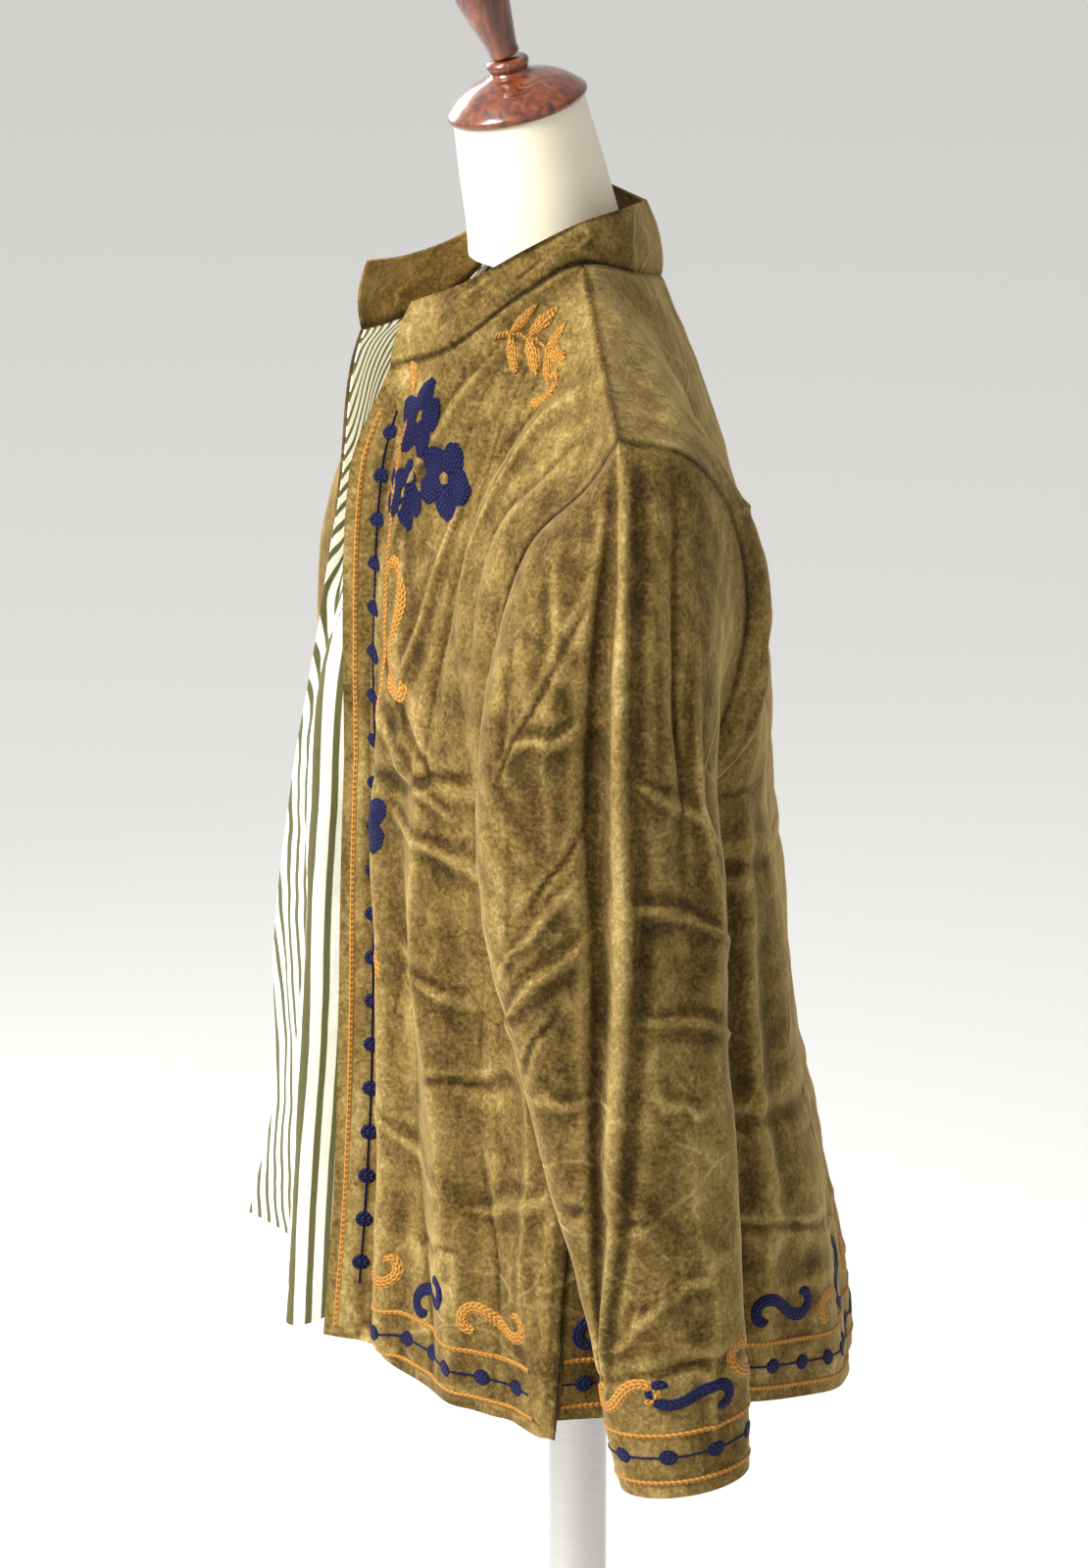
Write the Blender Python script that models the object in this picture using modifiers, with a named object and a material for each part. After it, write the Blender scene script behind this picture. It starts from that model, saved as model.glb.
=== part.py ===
"""Open velvet jacket hanging on a limbless dress form.

Metres, +Z up. The wearer faces -Y and the wearer's left is +X. The origin is
on the floor, under the pole. Every panel of cloth is a thin wall lofted
through sections worked out from the sizes below.
"""
import math

import bpy
import numpy as np

# Cloth
VELVET = 0.0020           # wall of velvet with its backing
COLLAR_CLOTH = 0.0024
COLLAR_BULGE = 0.0035     # how far the collar's middle stands out from its edges
LINING = 0.0010
LINING_GAP = 0.0005       # between the lining and the velvet over it
SEAM_GAP = 0.0003
LINING_TOP_INSET = 0.00015
LINING_HEM_INSET = 0.0040
LINING_EDGE_INSET = 0.0015
COLLAR_RISE = 0.0004      # the collar's lower edge above the neckline
SLEEVE_INSET = {"sleeve_left": 0.0010, "sleeve_right": 0.0006}
CREASE = 0.2              # cosine below which two walls at a seam keep their own normals
SHARP_EDGE = math.radians(50.0)

# Levels of the body, as parts of each column from its top edge to the hem
UNDERARM_Z = 1.140
UNDERARM_V = 0.40
FALL = 1.1                # how steeply the columns fall at the underarm
FALL_OUTWARD = 0.1
BODY_AXIS = np.array((0.0, -0.03))
# How the cloth leaves its top edge: degrees below level and reach in metres
LEAVE_FRONT = (70.0, 0.20)
LEAVE_BACK = (58.0, 0.14)
LEAVE_SHOULDER = (12.0, 0.13)
NECK_U = 1.0 / 3.0        # share of a front's top edge that is neckline

# Neckline of the left half, from the front edge to the middle of the back
NECKLINE = (
    # along, x, y, z
    (0.00, 0.045, -0.1205, 1.3760),
    (0.25, 0.078, -0.0920, 1.3935),
    (0.50, 0.087, -0.0500, 1.4260),
    (0.70, 0.075, -0.0130, 1.4376),
    (0.84, 0.052, 0.0210, 1.4260),
    (1.00, 0.000, 0.0490, 1.4100),
)
# On the right the neckline is pulled open and sits lower
NECKLINE_RIGHT = (
    (0.00, 0.045, -0.1205, 1.3760),
    (0.25, 0.076, -0.0940, 1.3740),
    (0.50, 0.090, -0.0540, 1.3880),
    (0.70, 0.080, -0.0140, 1.4240),
    (0.84, 0.055, 0.0200, 1.4210),
    (1.00, 0.000, 0.0490, 1.4100),
)
NECK_POINT = 0.70         # where the shoulder seam meets the neckline
NECK_TURN = 60.0          # degrees by which the columns turn outward at the neck point
NECK_TURN_OPEN = 75.0     # the same on the side that is pulled open
NECK_TURN_AT = 0.28
NECK_TURN_WIDTH = 0.14
CORNER_REACH = 0.18       # how far to each side the corner there is rounded
CORNER_SHARES = (1.0, 2.0, 3.0, 2.0, 1.0)
# Upper edge of the collar, at the same stations
COLLAR_TOP = (
    (0.00, 0.041, -0.1070, 1.4125),
    (0.25, 0.066, -0.0800, 1.4290),
    (0.50, 0.070, -0.0440, 1.4480),
    (0.70, 0.064, -0.0120, 1.4600),
    (0.84, 0.046, 0.0150, 1.4620),
    (1.00, 0.000, 0.0400, 1.4555),
)
COLLAR_TOP_RIGHT = (
    (0.00, 0.042, -0.1170, 1.4175),
    (0.25, 0.067, -0.0860, 1.4140),
    (0.50, 0.078, -0.0500, 1.4240),
    (0.70, 0.073, -0.0130, 1.4510),
    (0.84, 0.049, 0.0150, 1.4590),
    (1.00, 0.000, 0.0400, 1.4555),
)
SHOULDER_END = np.array((0.220, -0.0255, 1.3731))
UNDERARM = np.array((0.178, -0.0300, UNDERARM_Z))

ARMHOLE_FROM = 0.35       # the armhole's shape begins this far across

# Seams of the left armhole, from the shoulder end down to the underarm
ARMHOLE_FRONT = (
    # along, x, y, z
    (0.00, *SHOULDER_END),
    (0.18, 0.208, -0.0400, 1.3440),
    (0.40, 0.190, -0.0700, 1.3060),
    (0.65, 0.176, -0.0820, 1.2350),
    (0.85, 0.172, -0.0640, 1.1720),
    (1.00, *UNDERARM),
)
ARMHOLE_BACK = (
    (0.00, *SHOULDER_END),
    (0.18, 0.214, 0.0150, 1.3600),
    (0.40, 0.192, 0.0470, 1.3140),
    (0.65, 0.178, 0.0560, 1.2350),
    (0.85, 0.174, 0.0300, 1.1700),
    (1.00, *UNDERARM),
)

# Level sections of the body below the underarm
BODY = (
    # z, half width, front, back, side seam's y, roundness of the front
    (1.140, 0.178, -0.1370, 0.1110, -0.030, 2.30),
    (1.080, 0.187, -0.1405, 0.1170, -0.034, 2.00),
    (1.000, 0.202, -0.1445, 0.1250, -0.042, 1.70),
    (0.880, 0.220, -0.1520, 0.1450, -0.056, 1.40),
    (0.780, 0.232, -0.1630, 0.1620, -0.066, 1.25),
    (0.740, 0.236, -0.1670, 0.1660, -0.070, 1.22),
)
BACK_ROUNDNESS = 2.15     # 2 is an ellipse, more is squarer
FRONT_HEM_Z = 0.786
BACK_HEM_SIDE_Z = 0.795
BACK_HEM_MIDDLE_Z = 0.752
VENT_GAP = 0.004          # opening of a side vent at the hem
VENT_TOP_Z = 0.905
VENT_FROM = 0.85          # the cloth is drawn aside from here to the side seam
VENT_BACK_SHARE = 0.6     # the back's edge moves less than the front's

# Left front edge: its last strip turns out from a valley
FRONT_START = 0.115       # where a closed front's edge lies on a level section
STRIP = 0.055             # share of the front's width that is turned out
STRIP_TURN = 0.011
STRIP_SHIFT = 0.003

STRIP_FROM = 0.12         # part of the height over which the turn comes in

# Soft folds of the body
FOLDS_FROM = 0.12         # they begin this far down and are whole a bit lower
FOLDS_GROW = 0.30
FRONT_FOLDS = (
    # across at top, across at hem, width, depth at top, depth at hem
    (0.16, 0.10, 0.050, -0.002, -0.007),
    (0.34, 0.42, 0.070, 0.002, 0.008),
    (0.62, 0.66, 0.070, -0.003, -0.006),
    (0.86, 0.84, 0.060, 0.001, 0.004),
)
BACK_FOLDS = (
    (0.22, 0.20, 0.080, 0.000, -0.006),
    (0.45, 0.44, 0.080, 0.002, 0.006),
    (0.70, 0.70, 0.080, -0.002, -0.006),
)

# Right front: it swings open from the neck, so that its lining shows
OPEN_STATIONS = (0.00, 0.13, 0.36, 0.44, 0.66, 1.00)
OPEN_FRONT = (
    # part of the height, edge xy, back fold xy, near fold xy, inner fold xy
    (0.00, -0.050, -0.122, -0.078, -0.090, -0.085, -0.015, -0.102, -0.015),
    (0.10, -0.055, -0.128, -0.082, -0.108, -0.110, -0.040, -0.119, -0.041),
    (0.18, -0.064, -0.131, -0.078, -0.119, -0.106, -0.078, -0.116, -0.076),
    (0.26, -0.074, -0.136, -0.075, -0.125, -0.078, -0.108, -0.092, -0.096),
    (0.36, -0.088, -0.142, -0.077, -0.130, -0.053, -0.137, -0.056, -0.115),
    (0.50, -0.112, -0.150, -0.084, -0.137, -0.050, -0.145, -0.052, -0.122),
    (0.70, -0.140, -0.157, -0.100, -0.143, -0.052, -0.151, -0.054, -0.127),
    (0.86, -0.152, -0.155, -0.112, -0.145, -0.052, -0.158, -0.054, -0.134),
    (1.00, -0.168, -0.169, -0.124, -0.150, -0.050, -0.164, -0.053, -0.139),
)
OPEN_FROM = 0.16          # the neckline's shape fades out by here
OPEN_FOLDS_FROM = 0.55    # only the part beside the side seam keeps the folds of a front
OPEN_FOLDS_GROW = 0.20
OPEN_TENSION = 0.8        # below 1 the curve through the stations is tighter
CHEST_IN = np.array((0.000, 0.006))
NEAR_FOLD_DROP = 0.030    # the near fold hangs lower than the hem beside it
NEAR_FOLD_WIDTH = 0.14

# Sleeves
SLEEVE = (
    # z, centre x, centre y, half across, half fore and aft
    (1.375, 0.190, -0.025, 0.034, 0.038),
    (1.320, 0.214, -0.031, 0.042, 0.052),
    (1.250, 0.230, -0.039, 0.046, 0.061),
    (1.140, 0.243, -0.041, 0.046, 0.070),
    (1.000, 0.253, -0.026, 0.043, 0.060),
    (0.910, 0.262, -0.012, 0.038, 0.051),
    (0.830, 0.269, -0.002, 0.035, 0.042),
    (0.765, 0.272, 0.004, 0.031, 0.037),
)
CUFF_FRONT_Z = 0.769
CUFF_BACK_Z = 0.779
SLEEVE_BLEND = 0.24       # the armhole's shape fades out by here
# Long fold down the outside: the rear lobe stands over a recessed front lobe
SLEEVE_FOLD_PATH = (
    # down the sleeve, around it: 0 outside, 0.25 in front
    (0.00, 0.000),
    (0.30, 0.000),
    (0.45, 0.004),
    (0.60, 0.045),
    (0.72, 0.098),
    (0.85, 0.200),
    (1.00, 0.260),
)
SLEEVE_FOLD_END = 0.90    # the fold runs out above the cuff
SLEEVE_FOLD_FADE = 0.14
SLEEVE_FOLD_STEP = 0.022
SLEEVE_FOLD_WIDTH = 0.170
SLEEVE_FOLD_DEPTH = 0.015
SLEEVE_LOBE = 0.004       # the rear lobe stands out by this much
SLEEVE_LOBE_AT = -0.03
SLEEVE_LOBE_WIDTH = 0.06

# Dress form
FORM_CLEAR = 0.0050       # room under the shoulder for lining, and for its flat faces
FORM_ROUNDNESS = 2.4      # 2 is an ellipse, more is squarer
FORM = (
    # z, half width, front, back
    (0.765, 0.158, -0.104, 0.104),
    (0.800, 0.163, -0.106, 0.110),
    (0.870, 0.164, -0.104, 0.108),
    (0.930, 0.146, -0.093, 0.090),
    (0.990, 0.128, -0.084, 0.074),
    (1.050, 0.130, -0.092, 0.074),
    (1.110, 0.137, -0.103, 0.080),
    (1.170, 0.143, -0.110, 0.084),
    (1.230, 0.146, -0.104, 0.080),
    (1.290, 0.154, -0.086, 0.062),
    (1.330, 0.156, -0.064, 0.044),
    (1.365, 0.150, -0.046, 0.020),
    (1.380, 0.146, -0.040, 0.008),
)
FORM_SHOULDER = (
    # z, front, back; the width follows the shoulder seam above it
    (1.3940, -0.036, -0.002),
    (1.4050, -0.035, 0.002),
    (1.4150, -0.027, 0.008),
)
NECK_BASE = np.array((0.0, -0.0170, 1.4270))
NECK_TOP = np.array((0.0, -0.0357, 1.5136))
NECK_BASE_R = 0.0475
NECK_TOP_R = 0.0385
NECK_RINGS = (
    # share of the neck's height, share of its base radius
    (0.00, 1.00),
    (0.25, 0.93),
    (0.60, 0.88),
    (1.00, NECK_TOP_R / NECK_BASE_R),
)
NECK_TILT = math.radians(14.0)
FORM_SIDES = 32
POLE_R = 0.0175
BASE_R = 0.165
BASE_H = 0.018
BASE_EDGE = 0.005
CAP_H = 0.030
FINIAL_GAP = 0.0012
FINIAL_TILT = math.radians(21.0)
CAP_PROFILE = (
    # radius, height
    (0.0, CAP_H),
    (0.0105, CAP_H),
    (0.0125, 0.0265),
    (0.0105, 0.0225),
    (0.0130, 0.0200),
    (0.0240, 0.0165),
    (0.0340, 0.0105),
    (0.0410, 0.0045),
    (0.0415, 0.0025),
    (0.0400, 0.0),
    (0.0, 0.0),
)
FINIAL_PROFILE = (
    (0.0, 0.0780),
    (0.0060, 0.0765),
    (0.0105, 0.0720),
    (0.0140, 0.0620),
    (0.0158, 0.0480),
    (0.0150, 0.0360),
    (0.0118, 0.0200),
    (0.0088, 0.0060),
    (0.0080, 0.0),
    (0.0, 0.0),
)

# Grid of each panel, across and down
ROWS = 20                 # the underarm is level with row 8
ARMHOLE_ROWS = 8
FRONT_COLUMNS = 15        # thirds of these counts reach the neck point
OPEN_COLUMNS = 21
BACK_COLUMNS = 24
LINING_COLUMNS_SHORT = 2
SLEEVE_FOLD_STOPS = (0.025, 0.090, 0.155, 0.970)
SLEEVE_ROWS = 18
COLLAR_ROWS = 3

# Colours, roughness
VELVET_LOOK = ((0.17, 0.12, 0.035), 0.85)
LINING_LOOK = ((0.70, 0.70, 0.55), 0.90)
FORM_LOOK = ((0.82, 0.76, 0.60), 0.90)
WOOD_LOOK = ((0.17, 0.03, 0.01), 0.20)
METAL_LOOK = ((0.75, 0.73, 0.70), 0.35)


def clear_scene():
    for thing in list(bpy.data.objects):
        bpy.data.objects.remove(thing, do_unlink=True)


def material(name, look, metallic=0.0):
    colour, roughness = look
    made = bpy.data.materials.new(name)
    made.use_nodes = True
    shader = made.node_tree.nodes["Principled BSDF"]
    shader.inputs["Base Color"].default_value = (*colour, 1.0)
    shader.inputs["Roughness"].default_value = roughness
    shader.inputs["Metallic"].default_value = metallic
    return made


def smooth(rows, t):
    """Smooth curve through rows whose first column is the station."""
    table = np.array(rows, dtype=float)
    order = np.argsort(table[:, 0])
    stops, values = table[order, 0], table[order, 1:]
    slopes = np.gradient(values, stops, axis=0)
    t = np.clip(np.asarray(t, dtype=float), stops[0], stops[-1])
    at = np.clip(np.searchsorted(stops, t, side="right") - 1, 0, len(stops) - 2)
    step = stops[at + 1] - stops[at]
    s = ((t - stops[at]) / step)[..., None]
    step = step[..., None]
    start, end = values[at], values[at + 1]
    rise, fall = slopes[at] * step, slopes[at + 1] * step
    return (start * (2 * s**3 - 3 * s**2 + 1) + rise * (s**3 - 2 * s**2 + s)
            + end * (3 * s**2 - 2 * s**3) + fall * (s**3 - s**2))


def ease(t):
    t = np.clip(t, 0.0, 1.0)
    return t * t * (3.0 - 2.0 * t)


def body_point(z, across, side):
    """Point on the level section at z: across 0 is the middle, 1 the side seam.

    side is -1 for the front half of the section and +1 for the back half.
    """
    half, front, back, seam, roundness = np.moveaxis(smooth(BODY, z), -1, 0)
    reach = (front if side < 0 else back) - seam
    power = roundness if side < 0 else BACK_ROUNDNESS
    share = np.clip(np.sin(across * math.pi / 2), 0.0, 1.0)
    y = seam + reach * (1.0 - share ** power) ** (1.0 / power)
    return np.stack([half * share, y, z + 0 * y], axis=-1)


def top_edge(across, side, neckline):
    """Neckline and then shoulder seam of one half, from the middle out."""
    if side < 0:
        along = across / NECK_U * NECK_POINT
    else:
        along = 1.0 - across / NECK_U * (1.0 - NECK_POINT)
    along = np.where(across < NECK_U, along, NECK_POINT)
    neck = smooth(neckline, along)
    neck_point = smooth(neckline, NECK_POINT)
    out = np.clip((across - NECK_U) / (1.0 - NECK_U), 0.0, 1.0)[..., None]
    seam = neck_point + (SHOULDER_END - neck_point) * out
    return np.where((across < NECK_U)[..., None], neck, seam)


def lean(across, side, neck_turn):
    """Direction and reach in which the cloth leaves its top edge."""
    steep, middle = LEAVE_FRONT if side < 0 else LEAVE_BACK
    flat, end = LEAVE_SHOULDER
    share = ease(across / (NECK_U * 1.15))
    angle = np.radians(steep + (flat - steep) * share)
    reach = middle + (end - middle) * share
    turn = np.radians(neck_turn) * np.exp(-((across - NECK_TURN_AT) / NECK_TURN_WIDTH) ** 2)
    way = np.stack([np.sin(turn) * np.cos(angle), side * np.cos(turn) * np.cos(angle),
                    -np.sin(angle)], axis=-1)
    return way * reach[..., None]


def folds(table, across, down):
    """Depth of the soft folds, from their rows."""
    depth = 0 * across
    for top, hem, width, shallow, deep in table:
        middle = top + (hem - top) * down
        size = shallow + (deep - shallow) * down
        depth = depth + size * np.exp(-((across - middle) / width) ** 2)
    return depth * ease((down - FOLDS_FROM) / FOLDS_GROW)


def rounded_top(across, s, side, neckline):
    """The top edge, whose corner at the neck point is rounded off further down."""
    reach = CORNER_REACH * ease(s / 0.3) * ease(across / 0.2) * ease((1.0 - across) / 0.3)
    spots = np.linspace(-1.0, 1.0, len(CORNER_SHARES))
    made = sum(share * top_edge(across + spot * reach, side, neckline)
               for share, spot in zip(CORNER_SHARES, spots))
    return made / sum(CORNER_SHARES)


def column(across, s, side, neckline):
    """Upper part of a column: from the top edge to the underarm level."""
    top = rounded_top(across, s, side, neckline)
    start = FRONT_START if side < 0 else 0.0
    under = body_point(UNDERARM_Z + 0 * across, start + (1.0 - start) * across, side)
    drop = (top - under)[..., 2:3]
    out = FALL_OUTWARD * (under - top)[..., :1]
    fall = np.concatenate([out, 0 * drop, -FALL * drop], axis=-1)
    opened = side < 0 and neckline is NECKLINE_RIGHT
    leave = lean(across, side, NECK_TURN_OPEN if opened else NECK_TURN)
    s = s[..., None]
    return (top * (2 * s**3 - 3 * s**2 + 1) + leave * (s**3 - 2 * s**2 + s)
            + under * (3 * s**2 - 2 * s**3) + fall * (s**3 - s**2))


def half_body(across, down, side, neckline):
    """One half of the front (side -1) or back (side +1), on the wearer's left."""
    s = np.clip(down / UNDERARM_V, 0.0, 1.0)
    upper = column(across, s, side, neckline)
    seam = smooth(ARMHOLE_FRONT if side < 0 else ARMHOLE_BACK, s)
    edge = column(np.ones_like(across), s, side, neckline)
    share = ease((across - ARMHOLE_FROM) / (1.0 - ARMHOLE_FROM))
    upper = upper + (seam - edge) * share[..., None]
    start = FRONT_START if side < 0 else 0.0
    if side < 0:
        hem = FRONT_HEM_Z + 0 * across
    else:
        hem = BACK_HEM_MIDDLE_Z + (BACK_HEM_SIDE_Z - BACK_HEM_MIDDLE_Z) * ease(across)
    low = np.clip((down - UNDERARM_V) / (1.0 - UNDERARM_V), 0.0, 1.0)
    z = UNDERARM_Z + (hem - UNDERARM_Z) * low
    lower = body_point(z, start + (1.0 - start) * across, side)
    return np.where((down <= UNDERARM_V)[..., None], upper, lower)


def vent_shift(made, across, side):
    """Draw the two edges of a side vent apart below its top."""
    open_part = np.clip((VENT_TOP_Z - made[..., 2]) / (VENT_TOP_Z - FRONT_HEM_Z), 0.0, 1.0)
    near = ease((across - VENT_FROM) / (1.0 - VENT_FROM))
    shift = np.zeros_like(made)
    lap = 1.0 if side < 0 else -VENT_BACK_SHARE
    shift[..., 0] = lap * VENT_GAP * open_part * near
    return made + shift


def outward(made, depth):
    """Move points away from the body's upright axis by depth."""
    flat = made[..., :2] - BODY_AXIS
    size = np.linalg.norm(flat, axis=-1, keepdims=True)
    way = np.concatenate([flat / size, 0 * size], axis=-1)
    return made + way * depth[..., None]


def front_left(u, v):
    """u runs from the front edge to the armhole and side, v from top to hem."""
    made = half_body(u, v, -1, NECKLINE)
    made = outward(made, folds(FRONT_FOLDS, u, v))
    made = vent_shift(made, u, -1)
    turn = np.clip(1.0 - u / STRIP, 0.0, 1.0) * ease(v / STRIP_FROM)
    made[..., 1] -= STRIP_TURN * turn
    made[..., 0] += STRIP_SHIFT * turn
    return made


def back(u, v):
    """u runs from the right side to the left side."""
    across = np.abs(2.0 * u - 1.0)
    left = half_body(across, v, 1, NECKLINE)
    right = half_body(across, v, 1, NECKLINE_RIGHT)
    made = np.where((u < 0.5)[..., None], right, left)
    made = outward(made, folds(BACK_FOLDS, across, v))
    made = vent_shift(made, across, 1)
    made[..., 0] *= np.where(u < 0.5, -1.0, 1.0)
    return made


def front_right(u, v):
    """The swung-open front: u runs from its free edge to the armhole and side."""
    plain = half_body(u, v, -1, NECKLINE_RIGHT)
    kept = ease((u - OPEN_FOLDS_FROM) / OPEN_FOLDS_GROW)
    plain = outward(plain, folds(FRONT_FOLDS, u, v) * kept)
    plain = vent_shift(plain, u, -1)
    plain[..., 0] *= -1.0
    rows = smooth(OPEN_FRONT, v)
    chest = plain_station(OPEN_STATIONS[4], v)
    side = plain_station(1.0, v)
    stations = [rows[..., 0:2], rows[..., 2:4], rows[..., 4:6], rows[..., 6:8], chest, side]
    opened = plain.copy()
    opened[..., :2] = along_stations(OPEN_STATIONS, stations, u)
    amount = ease(v / OPEN_FROM) * ease((1.0 - u) / (1.0 - OPEN_STATIONS[4]))
    made = plain + (opened - plain) * amount[..., None]
    lower_half = ease((v - 0.5) / 0.5)
    dip = np.exp(-((u - OPEN_STATIONS[2]) / NEAR_FOLD_WIDTH) ** 2) * lower_half
    made[..., 2] -= NEAR_FOLD_DROP * dip
    return made


def plain_station(across, v):
    """Plan position of the unopened right front at one column."""
    plain = half_body(across + 0 * v, v, -1, NECKLINE_RIGHT)
    xy = plain[..., :2] * np.array((-1.0, 1.0))
    if across < 1.0:
        xy = xy + CHEST_IN * ease(v / OPEN_FROM)[..., None]
    return xy


def along_stations(stops, values, t):
    """Smooth curve through stations that are themselves grids."""
    values = np.stack(values, axis=0)
    stops = np.array(stops)
    slopes = np.gradient(values, stops, axis=0) * OPEN_TENSION
    at = np.clip(np.searchsorted(stops, t, side="right") - 1, 0, len(stops) - 2)
    step = stops[at + 1] - stops[at]
    s = ((t - stops[at]) / step)[..., None]
    step = step[..., None]

    def pick(source, index):
        return np.take_along_axis(source, index[None, ..., None], axis=0)[0]
    start, end = pick(values, at), pick(values, at + 1)
    rise, fall = pick(slopes, at) * step, pick(slopes, at + 1) * step
    return (start * (2 * s**3 - 3 * s**2 + 1) + rise * (s**3 - 2 * s**2 + s)
            + end * (3 * s**2 - 2 * s**3) + fall * (s**3 - s**2))


def armhole(t):
    """Left armhole seam: 0 at the shoulder, 0.5 at the underarm, back up to 1."""
    stops = np.linspace(0.0, 1.0, ARMHOLE_ROWS + 1)
    loop = np.concatenate([smooth(ARMHOLE_FRONT, stops), smooth(ARMHOLE_BACK, stops)[-2::-1]])
    at = np.linspace(0.0, 1.0, len(loop))
    return np.stack([np.interp(t, at, loop[:, axis]) for axis in range(3)], axis=-1)


def sleeve_left(t, v):
    """t runs round the sleeve from its outer line by the front, v to the cuff."""
    start = armhole(t % 1.0)
    angle = 2.0 * math.pi * t
    cuff = 0.5 * (CUFF_FRONT_Z + CUFF_BACK_Z) - 0.5 * (CUFF_BACK_Z - CUFF_FRONT_Z) * np.sin(angle)
    z = start[..., 2] + (cuff - start[..., 2]) * v
    centre_x, centre_y, across, along = np.moveaxis(smooth(SLEEVE, z), -1, 0)
    away = (t - smooth(SLEEVE_FOLD_PATH, v)[..., 0] + 0.5) % 1.0 - 0.5
    valley = ease(away / SLEEVE_FOLD_STEP) * np.clip(1.0 - away / SLEEVE_FOLD_WIDTH, 0.0, 1.0)
    lobe = np.exp(-((away - SLEEVE_LOBE_AT) / SLEEVE_LOBE_WIDTH) ** 2)
    grow = ease((v - 0.02) / 0.2) * (1.0 - 0.4 * v) * ease((SLEEVE_FOLD_END - v) / SLEEVE_FOLD_FADE)
    depth = (SLEEVE_FOLD_DEPTH * valley - SLEEVE_LOBE * lobe) * grow
    x = centre_x + (across - depth) * np.cos(angle)
    y = centre_y - along * np.sin(angle)
    ring = np.stack([x, y, z], axis=-1)
    share = 1.0 - np.clip(1.0 - v / SLEEVE_BLEND, 0.0, 1.0) ** 2
    return start + (ring - start) * share[..., None]


def collar_surface(u, v):
    """u runs from the left front edge round the back to the right one."""
    along = 1.0 - np.abs(2.0 * u - 1.0)
    left = (u < 0.5)[..., None]
    low = np.where(left, smooth(NECKLINE, along), smooth(NECKLINE_RIGHT, along))
    high = np.where(left, smooth(COLLAR_TOP, along), smooth(COLLAR_TOP_RIGHT, along))
    made = low + (high - low) * v[..., None]
    made = outward(made, COLLAR_BULGE * np.sin(math.pi * v))
    made[..., 0] *= np.where(u < 0.5, 1.0, -1.0)
    return made


def grid(surface, stations, down, closed=False):
    """Points of a surface and its unit normals, one row for each level."""
    u = np.array(stations)
    v = np.linspace(0.0, 1.0, down + 1)
    uu, vv = np.meshgrid(u, v)
    points = surface(uu, vv)
    step = 1.0e-4
    low_u = uu - step if closed else np.maximum(uu - step, 0.0)
    high_u = uu + step if closed else np.minimum(uu + step, 1.0)
    du = surface(high_u, vv) - surface(low_u, vv)
    dv = surface(uu, np.minimum(vv + step, 1.0)) - surface(uu, np.maximum(vv - step, 0.0))
    normals = np.cross(dv, du)
    normals /= np.linalg.norm(normals, axis=-1, keepdims=True)
    return points, normals


def wall_object(name, points, normals, thickness, look, closed=False, lift=0.0):
    """Closed wall: the outer points and the same points moved in by thickness."""
    rows, columns = points.shape[:2]
    outer = points + normals * lift
    inner = outer - normals * thickness
    layers = np.concatenate([outer.reshape(-1, 3), inner.reshape(-1, 3)])
    shift = rows * columns
    last = columns if closed else columns - 1
    faces = []
    for row in range(rows - 1):
        for column in range(last):
            right = (column + 1) % columns
            a, b = row * columns + column, row * columns + right
            c, d = a + columns, b + columns
            faces += [(a, c, d), (a, d, b)]
            faces += [(a + shift, d + shift, c + shift), (a + shift, b + shift, d + shift)]
    for row, flip in ((0, False), (rows - 1, True)):
        for column in range(last):
            a = row * columns + column
            b = row * columns + (column + 1) % columns
            faces += strip_faces(a, b, shift, flip)
    if not closed:
        for column, flip in ((0, True), (columns - 1, False)):
            for row in range(rows - 1):
                a = row * columns + column
                faces += strip_faces(a, a + columns, shift, flip)
    return mesh_object(name, layers, faces, look)


def strip_faces(a, b, shift, flip):
    """Two faces that close a wall between its outer and inner edge."""
    if flip:
        a, b = b, a
    return [(a, b, b + shift), (a, b + shift, a + shift)]


def mesh_object(name, points, faces, look):
    mesh = bpy.data.meshes.new(name)
    mesh.from_pydata([tuple(map(float, p)) for p in points], [], faces)
    mesh.materials.append(look)
    mesh.validate()
    mesh.update()
    mesh.shade_smooth()
    mesh.set_sharp_from_angle(angle=SHARP_EDGE)
    made = bpy.data.objects.new(name, mesh)
    PARTS.objects.link(made)
    return made


def turned_round(points, normals):
    """The same panel with its columns and its faces the other way round."""
    return points[:, ::-1], -normals[:, ::-1]


def mirrored(points, normals):
    """The other side's panel, with its columns in the same outward order."""
    flip = np.array((-1.0, 1.0, 1.0))
    return (points * flip)[:, ::-1], (normals * flip)[:, ::-1]


def form_rings():
    """Rings of the dress form's body from its underside to the top of its neck."""
    rings = []
    for z, half, front, rear in FORM:
        centre = np.array((0.0, (front + rear) / 2, z))
        rings.append((centre, half, (rear - front) / 2, 0.0, FORM_ROUNDNESS))
    neck_x, _, neck_z = smooth(NECKLINE_RIGHT, NECK_POINT)
    slope = (neck_z - SHOULDER_END[2]) / (SHOULDER_END[0] - neck_x)
    under = (VELVET + FORM_CLEAR) / math.cos(math.atan(slope))
    for z, front, rear in FORM_SHOULDER:
        half = neck_x + (neck_z - under - z) / slope
        rings.append((np.array((0.0, (front + rear) / 2, z)), half, (rear - front) / 2, 0.0, 2.0))
    for share, radius_share in NECK_RINGS:
        centre = NECK_BASE + (NECK_TOP - NECK_BASE) * share
        radius = NECK_BASE_R * radius_share
        rings.append((centre, radius, radius, NECK_TILT * share, 2.0))
    return rings


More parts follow.
